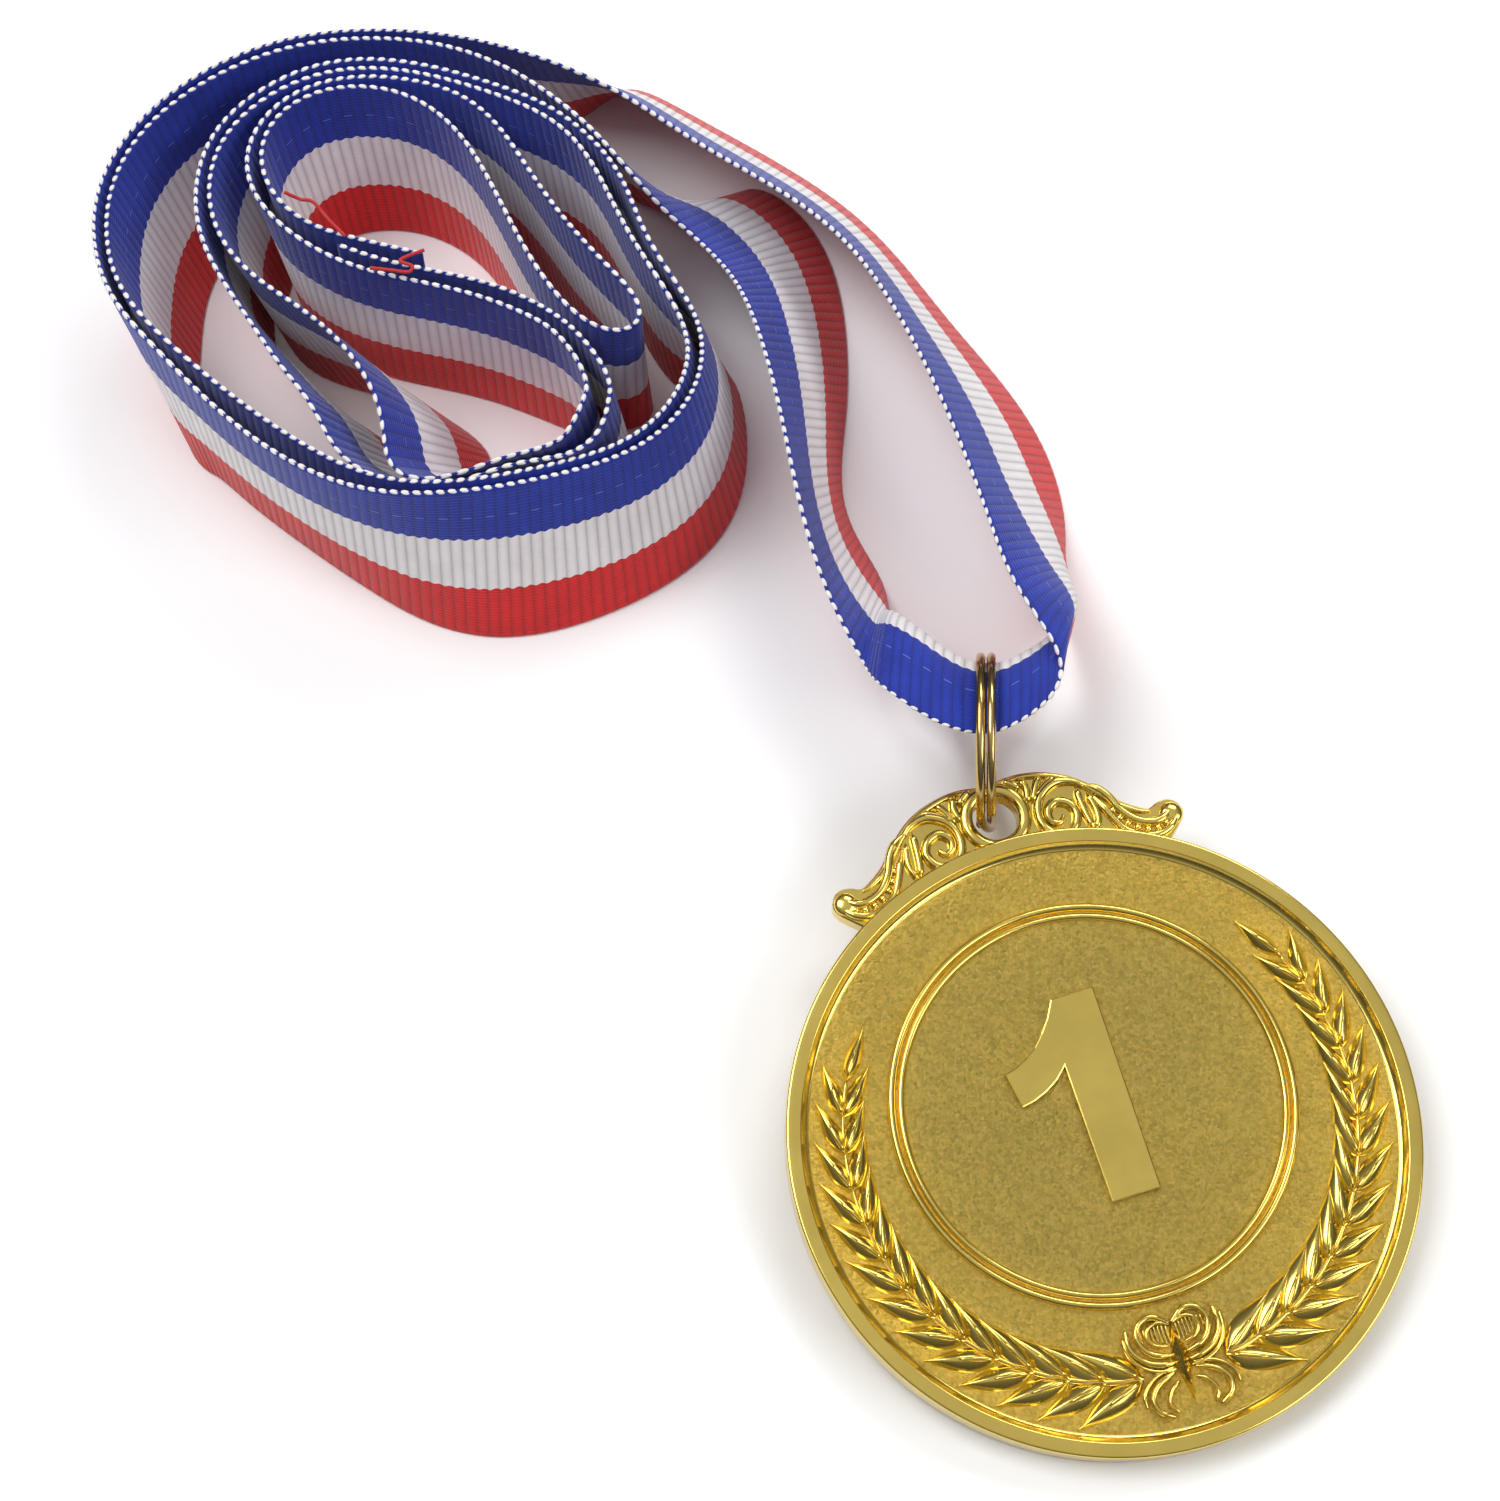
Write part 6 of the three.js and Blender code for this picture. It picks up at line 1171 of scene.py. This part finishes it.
pts = np.array([ring_point(x) for x in np.linspace(26, 694, 420)])
ring = make("split_ring_wire", *tube(pts, WIRE_R, 20, up=RING_AXIS), wire_gold)
for p in ring.data.polygons[-2:]:
    p.use_smooth = False
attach(ring, "ring")
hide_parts("split_ring")

# ------------------------------------------------------------------ ribbon
rows = ROUTE.reshape(-1, 3, 3)
P = catmull(rows.reshape(len(rows), 9), 6)
M = P[:, 3:6]
L = np.r_[0, np.cumsum(np.linalg.norm(np.diff(M, axis=0), axis=1))]
LEN = float(L[-1])
STEP = RIB / 4
ns = int(LEN / STEP) + 1
q = np.linspace(0, LEN, ns)
S = np.stack([np.interp(q, L, P[:, k]) for k in range(9)], 1)
T, Md, Bt = S[:, :3], S[:, 3:6], S[:, 6:]
NV = 25
vs = np.linspace(0, 1, NV)
vs = 0.5 - 0.5 * np.cos(math.pi * (0.06 + 0.88 * vs)) / math.cos(math.pi * 0.06)
vs = np.clip(vs, 0, 1)
surf = (T[:, None] * (2 * (vs - 0.5) * (vs - 1))[None, :, None] + Md[:, None] * (4 * vs * (1 - vs))[None, :, None] + Bt[:, None] * (2 * vs * (vs - 0.5))[None, :, None])
du = np.gradient(surf, axis=0)
for _ in range(2):
    du[1:-1] = (du[:-2] + 2 * du[1:-1] + du[2:]) / 4
dv = np.gradient(surf, axis=1)
N = np.cross(du, dv)
N /= np.linalg.norm(N, axis=2)[:, :, None]
phase = q / RIB
ribs = 0.055 * (np.abs(np.sin(math.pi * phase)) ** 0.7 - 0.45)
edge = np.sqrt(np.clip(1 - np.clip(1 - np.minimum(vs, 1 - vs) * 22 / 0.28, 0, 1) ** 2, 0.02, 1))
h = TAPE_T / 2 * edge[None, :] + ribs[:, None] * np.clip(edge[None, :] * 1.0, 0, 1)
up_side = surf + N * h[:, :, None]
dn_side = surf - N * h[:, :, None]
dn_side, up_side = dn_side.copy(), up_side.copy()
ring_v = np.concatenate([up_side, dn_side[:, ::-1]], 1)
ring_v[:, :, 2] = np.maximum(ring_v[:, :, 2], 0.0)
K = 2 * NV
verts = ring_v.reshape(-1, 3)
i, j = np.meshgrid(np.arange(ns - 1), np.arange(K), indexing="ij")
jj = (j + 1) % K
quads = np.stack([i * K + j, (i + 1) * K + j, (i + 1) * K + jj, i * K + jj], 2).reshape(-1, 4)
uv_v = np.concatenate([vs, vs[::-1]]) * 22
uvs = np.stack(np.broadcast_arrays(q[:, None], uv_v[None, :]), 2).reshape(-1, 2)
me = bpy.data.meshes.new("neck_ribbon")
nf = len(quads) + 2
me.vertices.add(len(verts))
me.vertices.foreach_set("co", (verts * MM).ravel())
caps = [np.arange(K)[::-1], (ns - 1) * K + np.arange(K)]
loops = np.concatenate([quads.ravel()] + caps)
me.loops.add(len(loops))
me.loops.foreach_set("vertex_index", loops.astype(np.int32))
starts = np.concatenate([np.arange(len(quads)) * 4, [len(quads) * 4, len(quads) * 4 + K]])
me.polygons.add(nf)
me.polygons.foreach_set("loop_start", starts.astype(np.int32))
me.update(calc_edges=True)
me.validate()
me.polygons.foreach_set("use_smooth", [True] * len(me.polygons))
layer = me.uv_layers.new(name="UVMap")
lp = np.empty(len(me.loops), np.int32)
me.loops.foreach_get("vertex_index", lp)
layer.data.foreach_set("uv", (uvs[lp] * MM).ravel())
me.materials.append(tape)
ribbon = bpy.data.objects.new("neck_ribbon", me)
bpy.context.collection.objects.link(ribbon)
recalc(ribbon)
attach(ribbon, "ribbon")
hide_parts(*[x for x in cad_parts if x.startswith("ribbon_")])

# picot dashes on the blue selvage, one per rib
ends = np.array([[0.0, 0], [0.06, 0.45], [0.2, 0.8], [0.5, 1.0], [0.8, 0.8], [0.94, 0.45], [1.0, 0]])
parts = []
step_t = 0.98
across = (T - Md)
across /= np.linalg.norm(across, axis=1)[:, None]
nrib = int(LEN / RIB)
for k in range(nrib):
    s0, s1 = (k + 0.14) * RIB, (k + 0.92) * RIB
    w = np.linspace(s0, s1, 7)
    c = np.stack([np.interp(w, q, T[:, x]) for x in range(3)], 1)
    ac = np.stack([np.interp(w, q, across[:, x]) for x in range(3)], 1)
    nn = np.stack([np.interp(w, q, N[:, 0, x]) for x in range(3)], 1)
    slant = np.linspace(-0.10, 0.10, 7)[:, None]
    c = c + ac * (-0.13 + slant)
    parts.append(tube(c, 0.20 * np.array([0.35, 0.8, 1, 1, 1, 0.8, 0.35]), 8, up=nn[3], flat=1.4))
v, f = join(parts)
dashes = make("ribbon_picot_dashes", v, f, dash)
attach(dashes, "ribbon")

# ---------------------------------------------------------- seam and threads
def thread(points, name, r=0.2):
    c = respace(catmull(np.array(points), 14), 0.12)
    o = make(name, *tube(c, r, 10), red_yarn)
    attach(o, "ribbon")
    return o


t1 = thread(LONG_TAIL, "seam_thread_long")
t2 = thread(CURLED_TAIL, "seam_thread_curl")
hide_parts("seam_thread_long_tail")
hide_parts("seam_thread_curled_tail")

# ------------------------------------------------------------- stage, light
floor = make("floor_plane", [(-1500, -1500, -0.02), (1500, -1500, -0.02), (1500, 1500, -0.02), (-1500, 1500, -0.02)], [(0, 1, 2, 3)], tape, smooth=False)
fm = Nodes("floor_paint")
fc = fm.object_coords()
fn = fm.noise(fc, 30, 2, 0.5)
fm.link(fm.mix(fn, (0.93, 0.93, 0.93), (0.95, 0.95, 0.95)), fm.bsdf.inputs["Base Color"])
fm.set(fm.bsdf, "Roughness", 0.9)
fm.set(fm.bsdf, "Specular IOR Level", 0.1)
floor.data.materials.clear()
floor.data.materials.append(fm.mat)

world = bpy.data.worlds.new("studio")
bpy.context.scene.world = world
world.use_nodes = True
wt = world.node_tree
bg = wt.nodes["Background"]
tc = wt.nodes.new("ShaderNodeTexCoord")
sp = wt.nodes.new("ShaderNodeSeparateXYZ")
rp = wt.nodes.new("ShaderNodeValToRGB")
wt.links.new(tc.outputs["Generated"], sp.inputs[0])
wt.links.new(sp.outputs[2], rp.inputs[0])
el = rp.color_ramp.elements
el[0].position, el[0].color = 0.0, (0.05, 0.05, 0.055, 1)
el[1].position, el[1].color = 1.0, (0.8, 0.8, 0.8, 1)
mid = el.new(0.6)
mid.color = (0.28, 0.28, 0.29, 1)
wt.links.new(rp.outputs[0], bg.inputs[0])
bg.inputs[1].default_value = 0.8


def area(name, loc, target, size, power, colour=(1, 1, 1)):
    d = bpy.data.lights.new(name, "AREA")
    d.shape, d.size, d.size_y, d.energy, d.color = "RECTANGLE", size[0], size[1], power, colour
    o = bpy.data.objects.new(name, d)
    bpy.context.collection.objects.link(o)
    o.location = loc
    o.rotation_euler = (Vector(target) - Vector(loc)).to_track_quat("-Z", "Y").to_euler()
    return o


area("key", (-0.42, 0.12, 0.75), (0, 0, 0), (0.5, 0.5), 4.6)
area("fill", (0.6, -0.3, 0.55), (0, 0, 0), (0.5, 0.35), 2.4)
area("back", (0.25, 0.62, 0.7), (0, 0, 0), (0.5, 0.3), 2.6)


bpy.context.scene.view_settings.view_transform = "Standard"
cam = bpy.data.objects.new("camera", bpy.data.cameras.new("camera"))
bpy.context.collection.objects.link(cam)
cam.location = CAMERA
cam.rotation_euler = (math.radians(25), 0, 0)
cam.data.lens = 71.95
cam.data.sensor_width = 36
cam.data.clip_start, cam.data.clip_end = 0.01, 20
cam.data.dof.use_dof = False
bpy.context.scene.camera = cam

bpy.context.view_layer.update()
